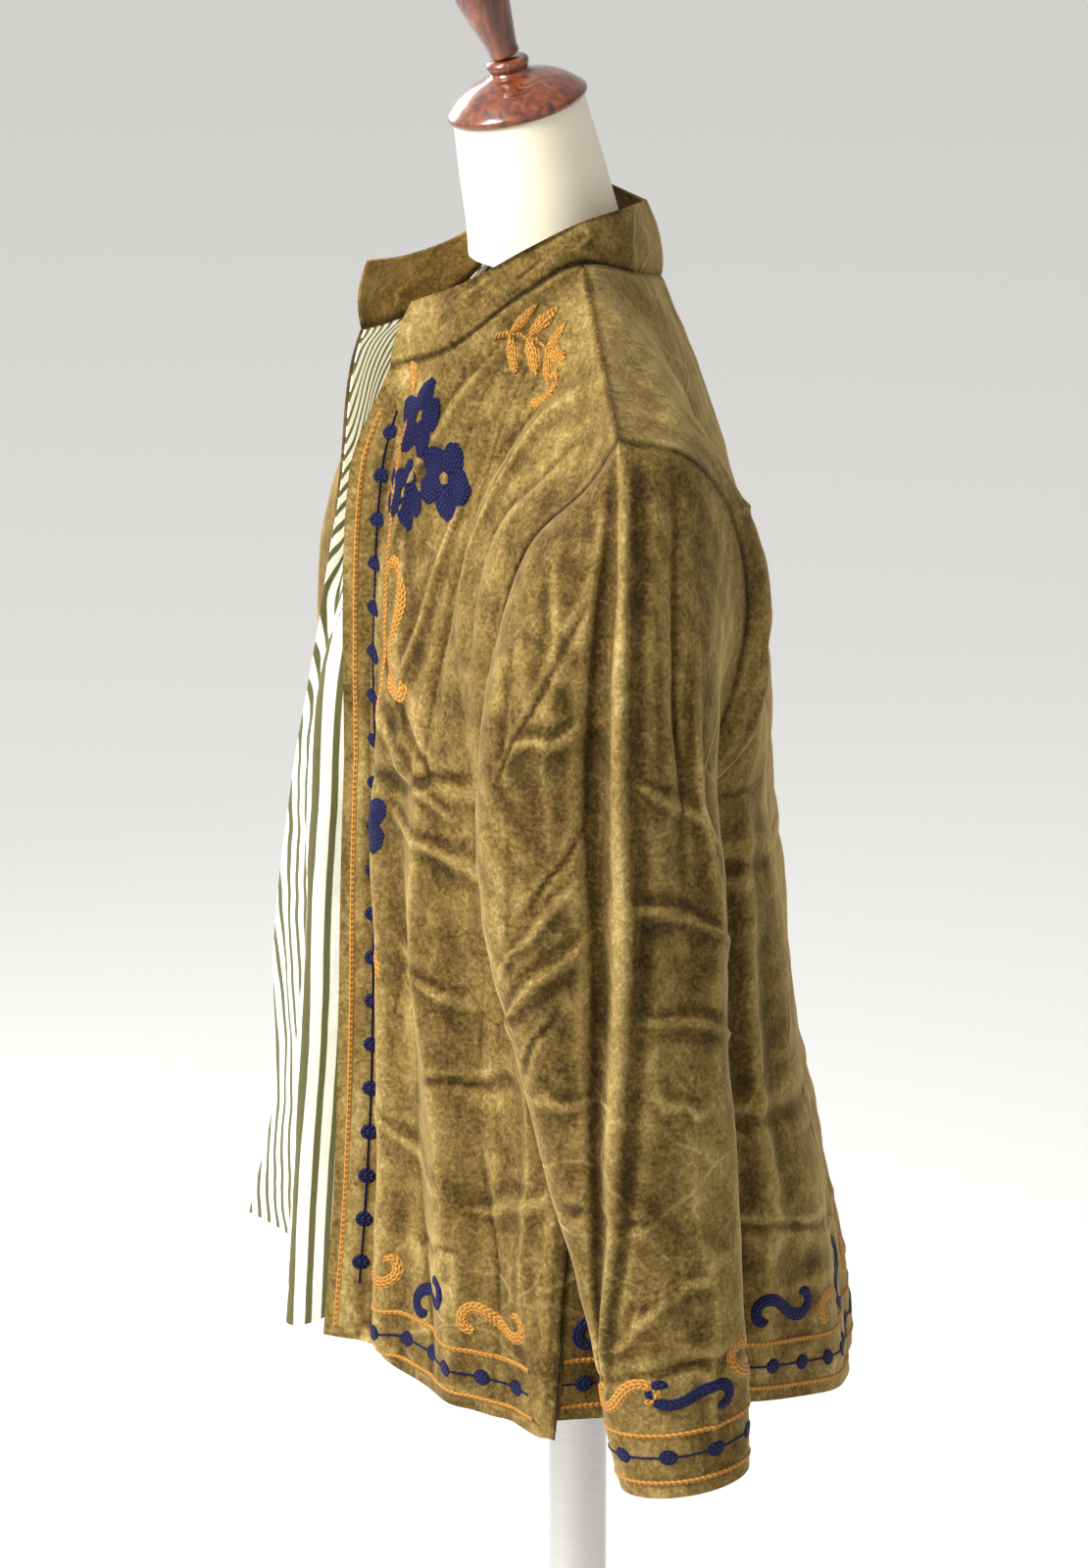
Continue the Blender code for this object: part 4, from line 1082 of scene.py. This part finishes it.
# Chain stitching
class Place:
    """Turns metres from a panel's edge and above its hem into panel coordinates."""

    def __init__(self, panel, from_last=False):
        self.panel, self.from_last = panel, from_last
        self.along, self.down = panel.flat_uv()
        if from_last:
            self.along = self.along[:, -1:] - self.along
        self.up = self.down[-1:] - self.down

    def __call__(self, distance, height):
        panel = self.panel
        rows, columns = self.along.shape
        distance = np.asarray(distance, dtype=float)
        height = np.maximum(np.asarray(height, dtype=float), 0.0)
        if panel.closed:
            distance = distance % self.along[-1, -1]
        u = np.clip(distance / max(self.along[-1].max(), 0.1), 0.0, 1.0)
        if self.from_last:
            u = 1.0 - u
        v = np.full(u.shape, PLACE_FROM)
        for _ in range(PLACE_ROUNDS):
            for index in np.ndindex(u.shape):
                column = int(round(float(u[index]) * (columns - 1)))
                heights = self.up[:, column]
                v[index] = 1.0 - np.interp(height[index], heights[::-1], 1.0 - panel.v[::-1])
                row = int(round(float(v[index]) * (rows - 1)))
                distances = self.along[row]
                if self.from_last:
                    u[index] = np.interp(distance[index], distances[::-1], panel.u[::-1])
                else:
                    reach = distances[-1] / self.along[-1, -1] if panel.closed else 1.0
                    u[index] = np.interp(distance[index] * reach, distances, panel.u)
        return u, v


class Stitches:
    """Raised stitching of one colour on one panel, gathered into one mesh."""

    def __init__(self, name, place, look):
        self.name, self.place, self.look = name, place, look
        self.points, self.faces, self.uvs = [], [], []

    def ribbon(self, path, half_widths):
        """A domed ribbon along a path of metres from the edge and above the hem."""
        path = np.asarray(path, dtype=float)
        half = np.broadcast_to(half_widths, len(path))
        way = unit(np.gradient(path, axis=0))
        side = np.stack([-way[:, 1], way[:, 0]], axis=1)
        across, lift = np.transpose(STITCH_SECTION)
        flat = path[:, None, :] + side[:, None, :] * (half[:, None, None] * across[None, :, None])
        u, v = self.place(flat[..., 0], flat[..., 1])
        made, _ = self.place.panel.at(u, v, np.broadcast_to(lift, u.shape))
        start = len(self.points)
        self.points.extend(made.reshape(-1, 3).tolist())
        coordinates = np.stack([np.broadcast_to(walked(path)[:, None], u.shape),
                                half[:, None] * across], axis=-1)
        flip = self.place.panel.flip != self.place.from_last
        for row in range(len(path) - 1):
            for column in range(len(across) - 1):
                corners = [(row, column), (row + 1, column), (row + 1, column + 1), (row, column + 1)]
                if flip:
                    corners = corners[::-1]
                self.faces.append([start + r * len(across) + c for r, c in corners])
                self.uvs.extend(coordinates[r, c] for r, c in corners)

    def line(self, points, half=LINE_HALF):
        """A row of chain stitches through a few points."""
        points = np.asarray(points, dtype=float)
        steps = walked(points)
        at = np.linspace(0.0, steps[-1], max(int(steps[-1] / STITCH_STEP), 2) + 1)
        path = np.stack([np.interp(at, steps, points[:, axis]) for axis in range(2)], axis=1)
        self.ribbon(path, half)

    def disc(self, centre, radius):
        """A round dot."""
        angle = np.linspace(0.0, math.pi, 11)
        path = np.stack([centre[0] - radius * np.cos(angle), np.full(11, centre[1])], axis=1)
        self.ribbon(path, np.maximum(radius * np.sin(angle), 0.0004))

    def curl(self, centre, length, width, lean=0.0, one_end=False, mirror=1.0, wind=4.5):
        """An S scroll, or a comma with one curled end, whose ends wind in."""
        s = np.linspace(-1.0, 1.0, SCROLL_POINTS)
        angle = wind * np.abs(s) ** SCROLL_POWER
        if one_end:
            angle = np.where(s > 0.0, angle, -0.9 * s * s)
        way = np.stack([np.cos(angle), np.sin(angle)], axis=1)
        path = np.concatenate([[(0.0, 0.0)], np.cumsum(0.5 * (way[1:] + way[:-1]), axis=0)])
        path -= 0.5 * (path.max(axis=0) + path.min(axis=0))
        path *= length / np.ptp(path, axis=0).max()
        path[:, 1] *= mirror
        spin = np.array(((math.cos(lean), math.sin(lean)), (-math.sin(lean), math.cos(lean))))
        path = path @ spin + np.array(centre)
        ends = np.sqrt(np.clip(1.0 - np.abs(s) ** 14, 0.02, 1.0))
        half = 0.5 * width * (0.88 + 0.12 * (1.0 - np.abs(s))) * ends
        self.ribbon(path, half)

    def petals(self, centre, radius, start):
        """Round petals about a centre."""
        for number in range(PETALS):
            angle = start + 2.0 * math.pi * number / PETALS
            along = np.linspace(0.15, 1.0, 9)
            path = np.array(centre) + radius * along[:, None] * np.array((math.cos(angle), math.sin(angle)))
            share = np.linspace(0.0, 1.0, 9)
            half = radius * PETAL_HALF * np.sqrt(np.clip(np.sin(math.pi * (0.12 + 0.80 * share)), 0.02, 1.0))
            half[-1] *= 0.35
            self.ribbon(path, half)

    def sprig(self, start, end, leaf, count):
        """A stem with pairs of leaves and one at its tip."""
        start, end = np.array(start, dtype=float), np.array(end, dtype=float)
        length = np.linalg.norm(end - start)
        way = unit(end - start)
        side = np.array((-way[1], way[0]))
        bow = np.linspace(0.0, 1.0, 18)[:, None]
        stem = start + way * length * bow + side * STEM_BOW * length * np.sin(math.pi * bow)
        self.ribbon(stem, STEM_HALF)
        for number in range(count):
            share = 0.25 + 0.65 * number / max(count - 1, 1)
            root = start + way * length * share + side * STEM_BOW * length * math.sin(math.pi * share)
            for hand in (-1.0, 1.0):
                out = way * 0.62 + side * 0.78 * hand
                self.leaf(root, root + out * leaf, 0.22 * leaf)
        self.leaf(end - way * 0.2 * leaf, end + way * leaf, 0.24 * leaf)

    def leaf(self, start, end, half):
        """A pointed leaf."""
        share = np.linspace(0.0, 1.0, 11)
        path = np.array(start) + (np.array(end) - np.array(start)) * share[:, None]
        self.ribbon(path, np.maximum(half * np.sin(math.pi * share) ** 0.8, 0.0003))

    def finish(self):
        """The mesh of everything stitched so far."""
        made = mesh_piece(self.name, self.points, self.faces, [self.look])
        set_uvs(made, "stitch", self.uvs)
        return made


def band(gold, navy, start, end, upright=False, lines=(BORDER_LOW, BORDER_HIGH), dots=BORDER_DOTS,
         drop=0.0):
    """Two gold lines and joined navy dots between them, along a hem or up an edge."""
    def spot(along, aside):
        return (aside, along) if upright else (along, aside)

    low, high = lines
    gold.line([spot(start - drop, low), spot(end, low)])
    gold.line([spot(start, high), spot(end, high)])
    navy.line([spot(start, dots), spot(end, dots)], half=JOIN_HALF)
    count = max(int(round((end - start) / DOT_PITCH)), 1)
    for number in range(count):
        navy.disc(spot(start + (number + 0.5) * (end - start) / count, dots), DOT_R)


def hem_border(gold, navy, first, last, start_gold):
    """The band along a hem and the scrolls above it."""
    band(gold, navy, first, last)
    count = max(int((last - first) / SCROLL_PITCH), 1)
    for number in range(count):
        centre = (first + (number + 0.5) * (last - first) / count, BORDER_SCROLLS)
        thread = gold if (number % 2 == 0) == start_gold else navy
        thread.curl(centre, *SCROLL, lean=-0.35 + 0.25 * math.sin(2.1 * number))


def front_motifs(gold, navy):
    """Sprig, flowers and scrolls of a front, above its border."""
    gold.sprig(*NECK_SPRIG)
    gold.curl(*NECK_CURL)
    gold.leaf(*NECK_LEAF)
    for aside, up, radius, turn in FRONT_FLOWERS:
        navy.petals((aside, up), radius, turn)
    for aside, up, length, lean, hand in FRONT_SCROLLS:
        gold.curl((aside, up), length, FRONT_SCROLL_WIDTH, lean=lean, mirror=hand, wind=FRONT_SCROLL_WIND)


def cuff_border(gold, navy, length):
    """The band round a cuff and the scrolls above it."""
    band(gold, navy, 0.0, length, lines=(CUFF_LOW, CUFF_LINE), dots=CUFF_DOTS)
    for thread, round_it, up, size, width, lean in CUFF_SCROLLS:
        (gold if thread == "gold" else navy).curl((round_it % length, up), size, width, lean=lean)


# Shader helpers
class Nodes:
    """Short calls for a material's node tree."""

    def __init__(self, name):
        self.material = bpy.data.materials.new(name)
        self.material.use_nodes = True
        self.tree = self.material.node_tree
        self.shader = self.tree.nodes["Principled BSDF"]

    def add(self, kind, inputs=(), **settings):
        node = self.tree.nodes.new(kind)
        for key, value in settings.items():
            setattr(node, key, value)
        for key, value in dict(inputs).items():
            self.put(node.inputs[key], value)
        return node

    def put(self, socket, value):
        if isinstance(value, bpy.types.NodeSocket):
            self.tree.links.new(value, socket)
        else:
            socket.default_value = value

    def set(self, **values):
        for key, value in values.items():
            self.put(self.shader.inputs[key.replace("_", " ")], value)

    def here(self, kind="Object"):
        return self.add("ShaderNodeTexCoord").outputs[kind]

    def scaled(self, vector, scale, turn=(0.0, 0.0, 0.0)):
        return self.add("ShaderNodeMapping", {"Vector": vector, "Scale": scale, "Rotation": turn}).outputs[0]

    def noise(self, vector, scale, detail=4.0, rough=0.55, distort=0.0):
        return self.add("ShaderNodeTexNoise", {"Vector": vector, "Scale": scale, "Detail": detail,
                                               "Roughness": rough, "Distortion": distort}).outputs[0]

    def math(self, kind, first, second=0.0):
        return self.add("ShaderNodeMath", {0: first, 1: second}, operation=kind).outputs[0]

    def span(self, value, low, high, to_low=0.0, to_high=1.0):
        return self.add("ShaderNodeMapRange", {"Value": value, "From Min": low, "From Max": high,
                                               "To Min": to_low, "To Max": to_high}).outputs[0]

    def ramp(self, value, stops):
        node = self.add("ShaderNodeValToRGB", {"Fac": value})
        ramp = node.color_ramp
        while len(ramp.elements) < len(stops):
            ramp.elements.new(0.5)
        for element, (at, colour) in zip(ramp.elements, stops):
            element.position = at
            element.color = (*colour, 1.0)
        return node.outputs[0]

    def mix(self, share, first, second):
        node = self.add("ShaderNodeMix", data_type="RGBA")
        self.put(node.inputs[0], share)
        for socket, value in ((node.inputs[6], first), (node.inputs[7], second)):
            self.put(socket, value if isinstance(value, bpy.types.NodeSocket) else (*value, 1.0))
        return node.outputs[2]

    def bump(self, height, strength, distance, onto=None):
        inputs = {"Height": height, "Strength": strength, "Distance": distance}
        if onto is not None:
            inputs["Normal"] = onto
        return self.add("ShaderNodeBump", inputs).outputs[0]


# Materials
def velvet_look():
    """Crushed velvet: the nap lies light and dark and paler along old folds, with painted light on ridges
    and painted shade in hollows and along seams.
    """
    n = Nodes("velvet_crushed")
    here = n.here()
    patches = n.noise(here, 9.0, 7.0, 0.66, 0.8)
    streaks = n.noise(n.scaled(here, (22.0, 22.0, 8.0)), 1.0, 6.0, 0.62, 1.2)
    fine = n.noise(here, 150.0, 5.0, 0.7, 1.0)
    # Painted shading: lighter on ridges, darker in hollows and along seams
    painted_relief_shading = n.add("ShaderNodeAttribute", attribute_name="painted_relief_shading").outputs["Fac"]
    warp = n.add("ShaderNodeTexNoise", {"Vector": here, "Scale": 6.0, "Detail": 3.0}).outputs[1]
    bent = n.add("ShaderNodeVectorMath", {0: here, 1: n.add("ShaderNodeVectorMath", {
        0: warp, 1: (0.10, 0.10, 0.10)}, operation="MULTIPLY").outputs[0]}, operation="ADD").outputs[0]
    cells = n.add("ShaderNodeTexVoronoi", {"Vector": n.scaled(bent, (11.0, 11.0, 20.0)), "Scale": 1.0},
                  feature="DISTANCE_TO_EDGE").outputs[0]
    shown = n.span(n.noise(here, 7.0, 2.0), 0.50, 0.60)
    line = n.math("MULTIPLY", n.span(cells, 0.0, 0.035, 1.0, 0.0), shown)
    grain = n.noise(here, 420.0, 3.0, 0.7)
    blend = n.math("MULTIPLY", patches, 0.28)
    for layer, share in ((streaks, 0.22), (fine, 0.26), (grain, 0.24), (painted_relief_shading, 0.074), (line, 0.05)):
        blend = n.math("ADD", blend, n.math("MULTIPLY", layer, share))
    colour = n.ramp(blend, VELVET_COLOURS)
    crush = n.noise(here, 30.0, 7.0, 0.62, 1.4)
    wrinkle = n.bump(crush, 0.5, 0.0035)
    wrinkle = n.bump(line, 0.6, 0.0012, wrinkle)
    nap = n.bump(n.noise(here, 600.0, 3.0, 0.6), 0.4, 0.0008, wrinkle)
    n.set(Base_Color=colour, Roughness=0.9, Normal=nap, Sheen_Weight=0.8, Sheen_Roughness=0.36,
          Sheen_Tint=(0.80, 0.60, 0.27, 1.0), Specular_IOR_Level=0.1)
    return n.material


def lining_look():
    """White cotton with olive stripes down its length, that wander a little."""
    n = Nodes("lining_striped")
    uv = n.here("UV")
    wander = n.noise(uv, 9.0, 2.0)
    parts = n.add("ShaderNodeSeparateXYZ", {0: uv})
    place = n.math("ADD", parts.outputs[0], n.math("MULTIPLY", n.math("SUBTRACT", wander, 0.5), 0.0010))
    wave = n.math("FRACT", n.math("DIVIDE", place, STRIPE_PITCH))
    edge = n.math("ABSOLUTE", n.math("SUBTRACT", wave, 0.5))
    stripe = n.span(edge, STRIPE_SHARE / 2 - STRIPE_SOFT, STRIPE_SHARE / 2 + STRIPE_SOFT)
    yarn = n.noise(n.scaled(uv, (1500.0, 180.0, 1.0)), 1.0, 2.0)
    cross = n.noise(n.scaled(uv, (180.0, 1500.0, 1.0)), 1.0, 2.0)
    weave = n.math("ADD", yarn, cross)
    olive = n.mix(yarn, (0.070, 0.066, 0.016), (0.130, 0.120, 0.034))
    white = n.mix(yarn, (0.72, 0.74, 0.64), (0.86, 0.87, 0.80))
    colour = n.mix(stripe, olive, white)
    rumple = n.bump(n.noise(n.here(), 60.0, 4.0, 0.6, 1.0), 0.30, 0.0025)
    n.set(Base_Color=colour, Roughness=0.9, Normal=n.bump(weave, 0.25, 0.0004, rumple),
          Sheen_Weight=0.10)
    return n.material


def thread_look(name, dark, light):
    """Glossy thread in slanting loops, row beside row."""
    n = Nodes(name)
    uv = n.here("UV")
    parts = n.add("ShaderNodeSeparateXYZ", {0: uv})
    slant = n.math("ADD", parts.outputs[0], n.math("MULTIPLY", n.math("ABSOLUTE", parts.outputs[1]), -0.9))
    loops = n.math("SINE", n.math("MULTIPLY", slant, 2.0 * math.pi / STITCH_LENGTH))
    rows = n.math("SINE", n.math("MULTIPLY", parts.outputs[1], 2.0 * math.pi / STITCH_ROW))
    relief = n.math("ADD", n.math("MULTIPLY", loops, 0.5), n.math("MULTIPLY", rows, 0.5))
    uneven = n.noise(n.here(), 130.0, 3.0)
    # Colour follows the loops' relief: painted shade in their hollows and painted highlight on their crests,
    # made uneven by noise
    share = n.math("MULTIPLY", n.span(relief, -1.0, 1.0), n.math("ADD", uneven, 0.45))
    n.set(Base_Color=n.mix(share, dark, light), Roughness=0.6, Normal=n.bump(relief, 0.8, 0.0009),
          Specular_IOR_Level=0.2)
    return n.material


def jersey_look():
    """Cream knitted cover of the dress form."""
    n = Nodes("form_jersey")
    here = n.here()
    knit = n.noise(n.scaled(here, (900.0, 900.0, 1400.0)), 1.0, 2.0)
    colour = n.ramp(n.noise(here, 7.0, 4.0), ((0.3, (0.78, 0.70, 0.52)), (0.7, (0.86, 0.80, 0.63))))
    n.set(Base_Color=colour, Roughness=0.8, Normal=n.bump(knit, 0.2, 0.0004), Sheen_Weight=0.2)
    return n.material


def wood_look():
    """Varnished reddish wood."""
    n = Nodes("wood_glossy")
    here = n.here()
    grain = n.noise(n.scaled(here, (90.0, 90.0, 9.0)), 1.0, 6.0, 0.62, 2.2)
    colour = n.ramp(grain, ((0.32, (0.040, 0.008, 0.003)), (0.50, (0.150, 0.030, 0.008)),
                            (0.68, (0.260, 0.065, 0.020))))
    n.set(Base_Color=colour, Roughness=0.30, Normal=n.bump(grain, 0.08, 0.0006), Coat_Weight=0.8,
          Coat_Roughness=0.08)
    return n.material


def metal_look():
    """Brushed steel."""
    n = Nodes("metal_satin")
    here = n.here()
    brushed = n.noise(n.scaled(here, (60.0, 60.0, 900.0)), 1.0, 3.0)
    colour = n.ramp(brushed, ((0.3, (0.66, 0.64, 0.62)), (0.7, (0.72, 0.70, 0.68))))
    n.set(Base_Color=colour, Metallic=1.0, Roughness=0.34, Normal=n.bump(brushed, 0.06, 0.0004))
    return n.material


def floor_look():
    """Plain pale floor."""
    n = Nodes("floor")
    n.set(Base_Color=(0.86, 0.86, 0.85, 1.0), Roughness=0.9)
    return n.material


# Dress form
def form_piece(look):
    """The torso with its neck."""
    rings = [ring_points(*ring) for ring in form_rings()]
    points = [p for ring in rings for p in ring]
    faces = []
    for level in range(len(rings) - 1):
        for step in range(FORM_SIDES):
            a = level * FORM_SIDES + step
            b = level * FORM_SIDES + (step + 1) % FORM_SIDES
            faces.append((a, b, b + FORM_SIDES, a + FORM_SIDES))
    top = (len(rings) - 1) * FORM_SIDES
    faces.append(tuple(range(FORM_SIDES))[::-1])
    faces.append(tuple(range(top, top + FORM_SIDES)))
    return mesh_piece("form_torso", points, faces, [look], FORM_SHARP)


def lathe(name, profile, look, place=(0.0, 0.0, 0.0), tilt=0.0, steps=96):
    """Solid turned from a profile of radius and height that starts and ends on its axis."""
    profile = np.array(profile, dtype=float)
    points, faces = [], []
    angles = np.linspace(0.0, 2.0 * math.pi, steps, endpoint=False)
    for radius, height in profile[1:-1]:
        points += [(radius * math.cos(a), radius * math.sin(a), height) for a in angles]
    first, last = len(points), len(points) + 1
    points += [(0.0, 0.0, profile[0, 1]), (0.0, 0.0, profile[-1, 1])]
    rings = len(profile) - 2
    for step in range(steps):
        after = (step + 1) % steps
        faces.append((first, step, after))
        for ring in range(rings - 1):
            a, b = ring * steps + step, ring * steps + after
            faces.append((a, a + steps, b + steps, b))
        low = (rings - 1) * steps
        faces.append((last, low + after, low + step))
    turn = np.array(((1.0, 0.0, 0.0), (0.0, math.cos(tilt), -math.sin(tilt)),
                     (0.0, math.sin(tilt), math.cos(tilt))))
    points = np.array(points) @ turn.T + np.array(place)
    return mesh_piece(name, points, faces, [look], FORM_SHARP)


def smooth_profile(rows, steps=40):
    """A profile rounded through its rows, from the top down."""
    rows = np.array(rows, dtype=float)
    at = np.arange(len(rows), dtype=float)
    table = np.concatenate([at[:, None], rows], axis=1)
    made = smooth(table, np.linspace(0.0, at[-1], steps))
    made[:, 0] = np.maximum(made[:, 0], 0.0)
    made[0, 0] = 0.0
    made[-1, 0] = 0.0
    return made


def build_form(looks):
    """The dress form from its torso to its base. Returns the torso, which the cloth hangs on."""
    axis = np.array((0.0, -math.sin(NECK_TILT), math.cos(NECK_TILT)))
    cap_place = NECK_TOP + axis * SEAM_GAP
    finial_place = cap_place + axis * (CAP_H + FINIAL_GAP)
    wood, metal = looks["wood"], looks["metal"]
    torso = form_piece(looks["jersey"])
    settle(torso, "form_cloth", "form_body")
    settle(lathe("neck_cap", CAP_PROFILE, wood, cap_place, NECK_TILT), "wood", "form_cap")
    settle(lathe("neck_finial", smooth_profile(FINIAL_PROFILE), wood, finial_place, FINIAL_TILT),
           "wood", "form_finial")
    settle(lathe("stand_pole", POLE_PROFILE, metal), "metal", "form_pole")
    settle(lathe("stand_base", BASE_PROFILE, metal), "metal", "form_base")
    return torso


# What the frame is told
def settle(piece, slot, *nodes):
    """Every piece rides on the one rigid body and stands for its nodes, if it has any."""
    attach(piece, "root")
    if nodes:
        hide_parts(*nodes)


def build_cloth(looks, torso):
    """Every piece of cloth with its stitching, and its flat cut."""
    made = panels()
    inner = made.pop("lining")
    velvet, lining = looks["velvet"], looks["lining"]
    pieces = {}
    for name, panel in made.items():
        both = [velvet] if name in ("collar", "front_right") else [velvet, lining]
        pieces[name] = shell("cloth_" + name, panel, SHELL, both)
        settle(pieces[name], "velvet", name)
    pieces["lining"] = shell("cloth_lining_front_right", inner, LINING_SHELL, [lining], LINING_DROP,
                             STRIPES_FROM)
    settle(pieces["lining"], "lining", "lining_front_right")
    stitching = build_stitching(looks, made)


def build_stitching(looks, made):
    """Chain stitching on every panel that has a border."""
    kept = []

    def threads(name, place):
        pair = [Stitches("stitch_%s_%s" % (colour, name), place, looks[colour])
                for colour in ("gold", "navy")]
        kept.extend((name, thread) for thread in pair)
        return pair

    for name in ("front_left", "front_right"):
        place = Place(made[name])
        gold, navy = threads(name, place)
        hem_border(gold, navy, BORDER_HIGH, place.along[-1, -1] - HEM_END, True)
        band(gold, navy, BORDER_HIGH, EDGE_TOP, upright=True, drop=EDGE_DROP)
        front_motifs(gold, navy)
    place = Place(made["back"], from_last=True)
    gold, navy = threads("back", place)
    hem_border(gold, navy, HEM_END, place.along[-1, 0] - HEM_END, False)
    for name in ("sleeve_left", "sleeve_right"):
        place = Place(made[name])
        gold, navy = threads(name, place)
        cuff_border(gold, navy, place.along[-1, -1])
    finished = []
    for name, thread in kept:
        piece = thread.finish()
        settle(piece, "velvet")
        finished.append((name, piece))
    return finished


# Camera, lights and floor
def placed(thing, *columns):
    """Set an object's matrix from its three axes and its place."""
    thing.matrix_world = Matrix([[float(way[axis]) for way in columns] for axis in range(3)]
                                + [[0.0, 0.0, 0.0, 1.0]])


def add_camera(right, up, toward):
    """The camera of the photo, which looks from the wearer's left and a little from above."""
    data = bpy.data.cameras.new("camera")
    data.sensor_fit = "HORIZONTAL"
    data.sensor_width = 36.0
    data.lens = CAMERA_LENS
    data.clip_end = 100.0
    camera = linked("camera", data)
    placed(camera, right, up, toward, CAMERA_AT)
    bpy.context.scene.camera = camera


def add_lamp(right, up, toward, name, aside, above, near, width, power):
    """A soft square lamp turned to the jacket."""
    light = bpy.data.lights.new(name, "AREA")
    light.size = width
    light.energy = power
    way = right * aside + up * above + toward * near
    place = LIGHTS_MIDDLE + way
    way = unit(way)
    across = unit(np.cross((0.0, 0.0, 1.0), way))
    lamp = linked(name, light)
    placed(lamp, across, np.cross(way, across), way, place)


def add_world():
    """White light all round, stronger behind the jacket than in front of it."""
    world = bpy.data.worlds.new("studio")
    bpy.context.scene.world = world
    world.use_nodes = True
    nodes, join = world.node_tree.nodes, world.node_tree.links.new
    shader = nodes["Background"]
    shader.inputs[0].default_value = (1.0, 0.99, 0.97, 1.0)
    parts = nodes.new("ShaderNodeSeparateXYZ")
    join(nodes.new("ShaderNodeTexCoord").outputs["Generated"], parts.inputs[0])
    depth = nodes.new("ShaderNodeMapRange")
    depth.inputs["From Min"].default_value = 1.0
    depth.inputs["From Max"].default_value = -1.0
    join(parts.outputs[1], depth.inputs["Value"])
    ramp = nodes.new("ShaderNodeValToRGB")
    join(depth.outputs[0], ramp.inputs[0])
    ramp.color_ramp.elements.new(0.5)
    for element, (at, strength) in zip(ramp.color_ramp.elements, WORLD_LIGHT):
        element.position = at
        element.color = (strength, strength, strength, 1.0)
    join(ramp.outputs[0], shader.inputs[1])


def studio():
    """Pale floor, soft lights and the camera of the photo."""
    corners = [(x * FLOOR, y * FLOOR, 0.0) for x, y in ((-1, -1), (1, -1), (1, 1), (-1, 1))]
    mesh_piece("floor", corners, [(0, 1, 2, 3)], [floor_look()])
    azimuth, height = math.radians(CAMERA_AZ), math.radians(CAMERA_EL)
    toward = np.array((math.sin(azimuth) * math.cos(height), -math.cos(azimuth) * math.cos(height),
                       math.sin(height)))
    right = np.array((math.cos(azimuth), math.sin(azimuth), 0.0))
    up = np.cross(toward, right)
    add_camera(right, up, toward)
    for row in LIGHTS:
        add_lamp(right, up, toward, *row)
    add_world()
    bpy.context.scene.view_settings.view_transform = "Standard"


def main():
    """The whole scene."""
    looks = {
        "velvet": velvet_look(),
        "lining": lining_look(),
        "gold": thread_look("thread_gold", *GOLD),
        "navy": thread_look("thread_navy", *NAVY),
        "jersey": jersey_look(),
        "wood": wood_look(),
        "metal": metal_look(),
    }
    build_cloth(looks, build_form(looks))
    studio()


main()
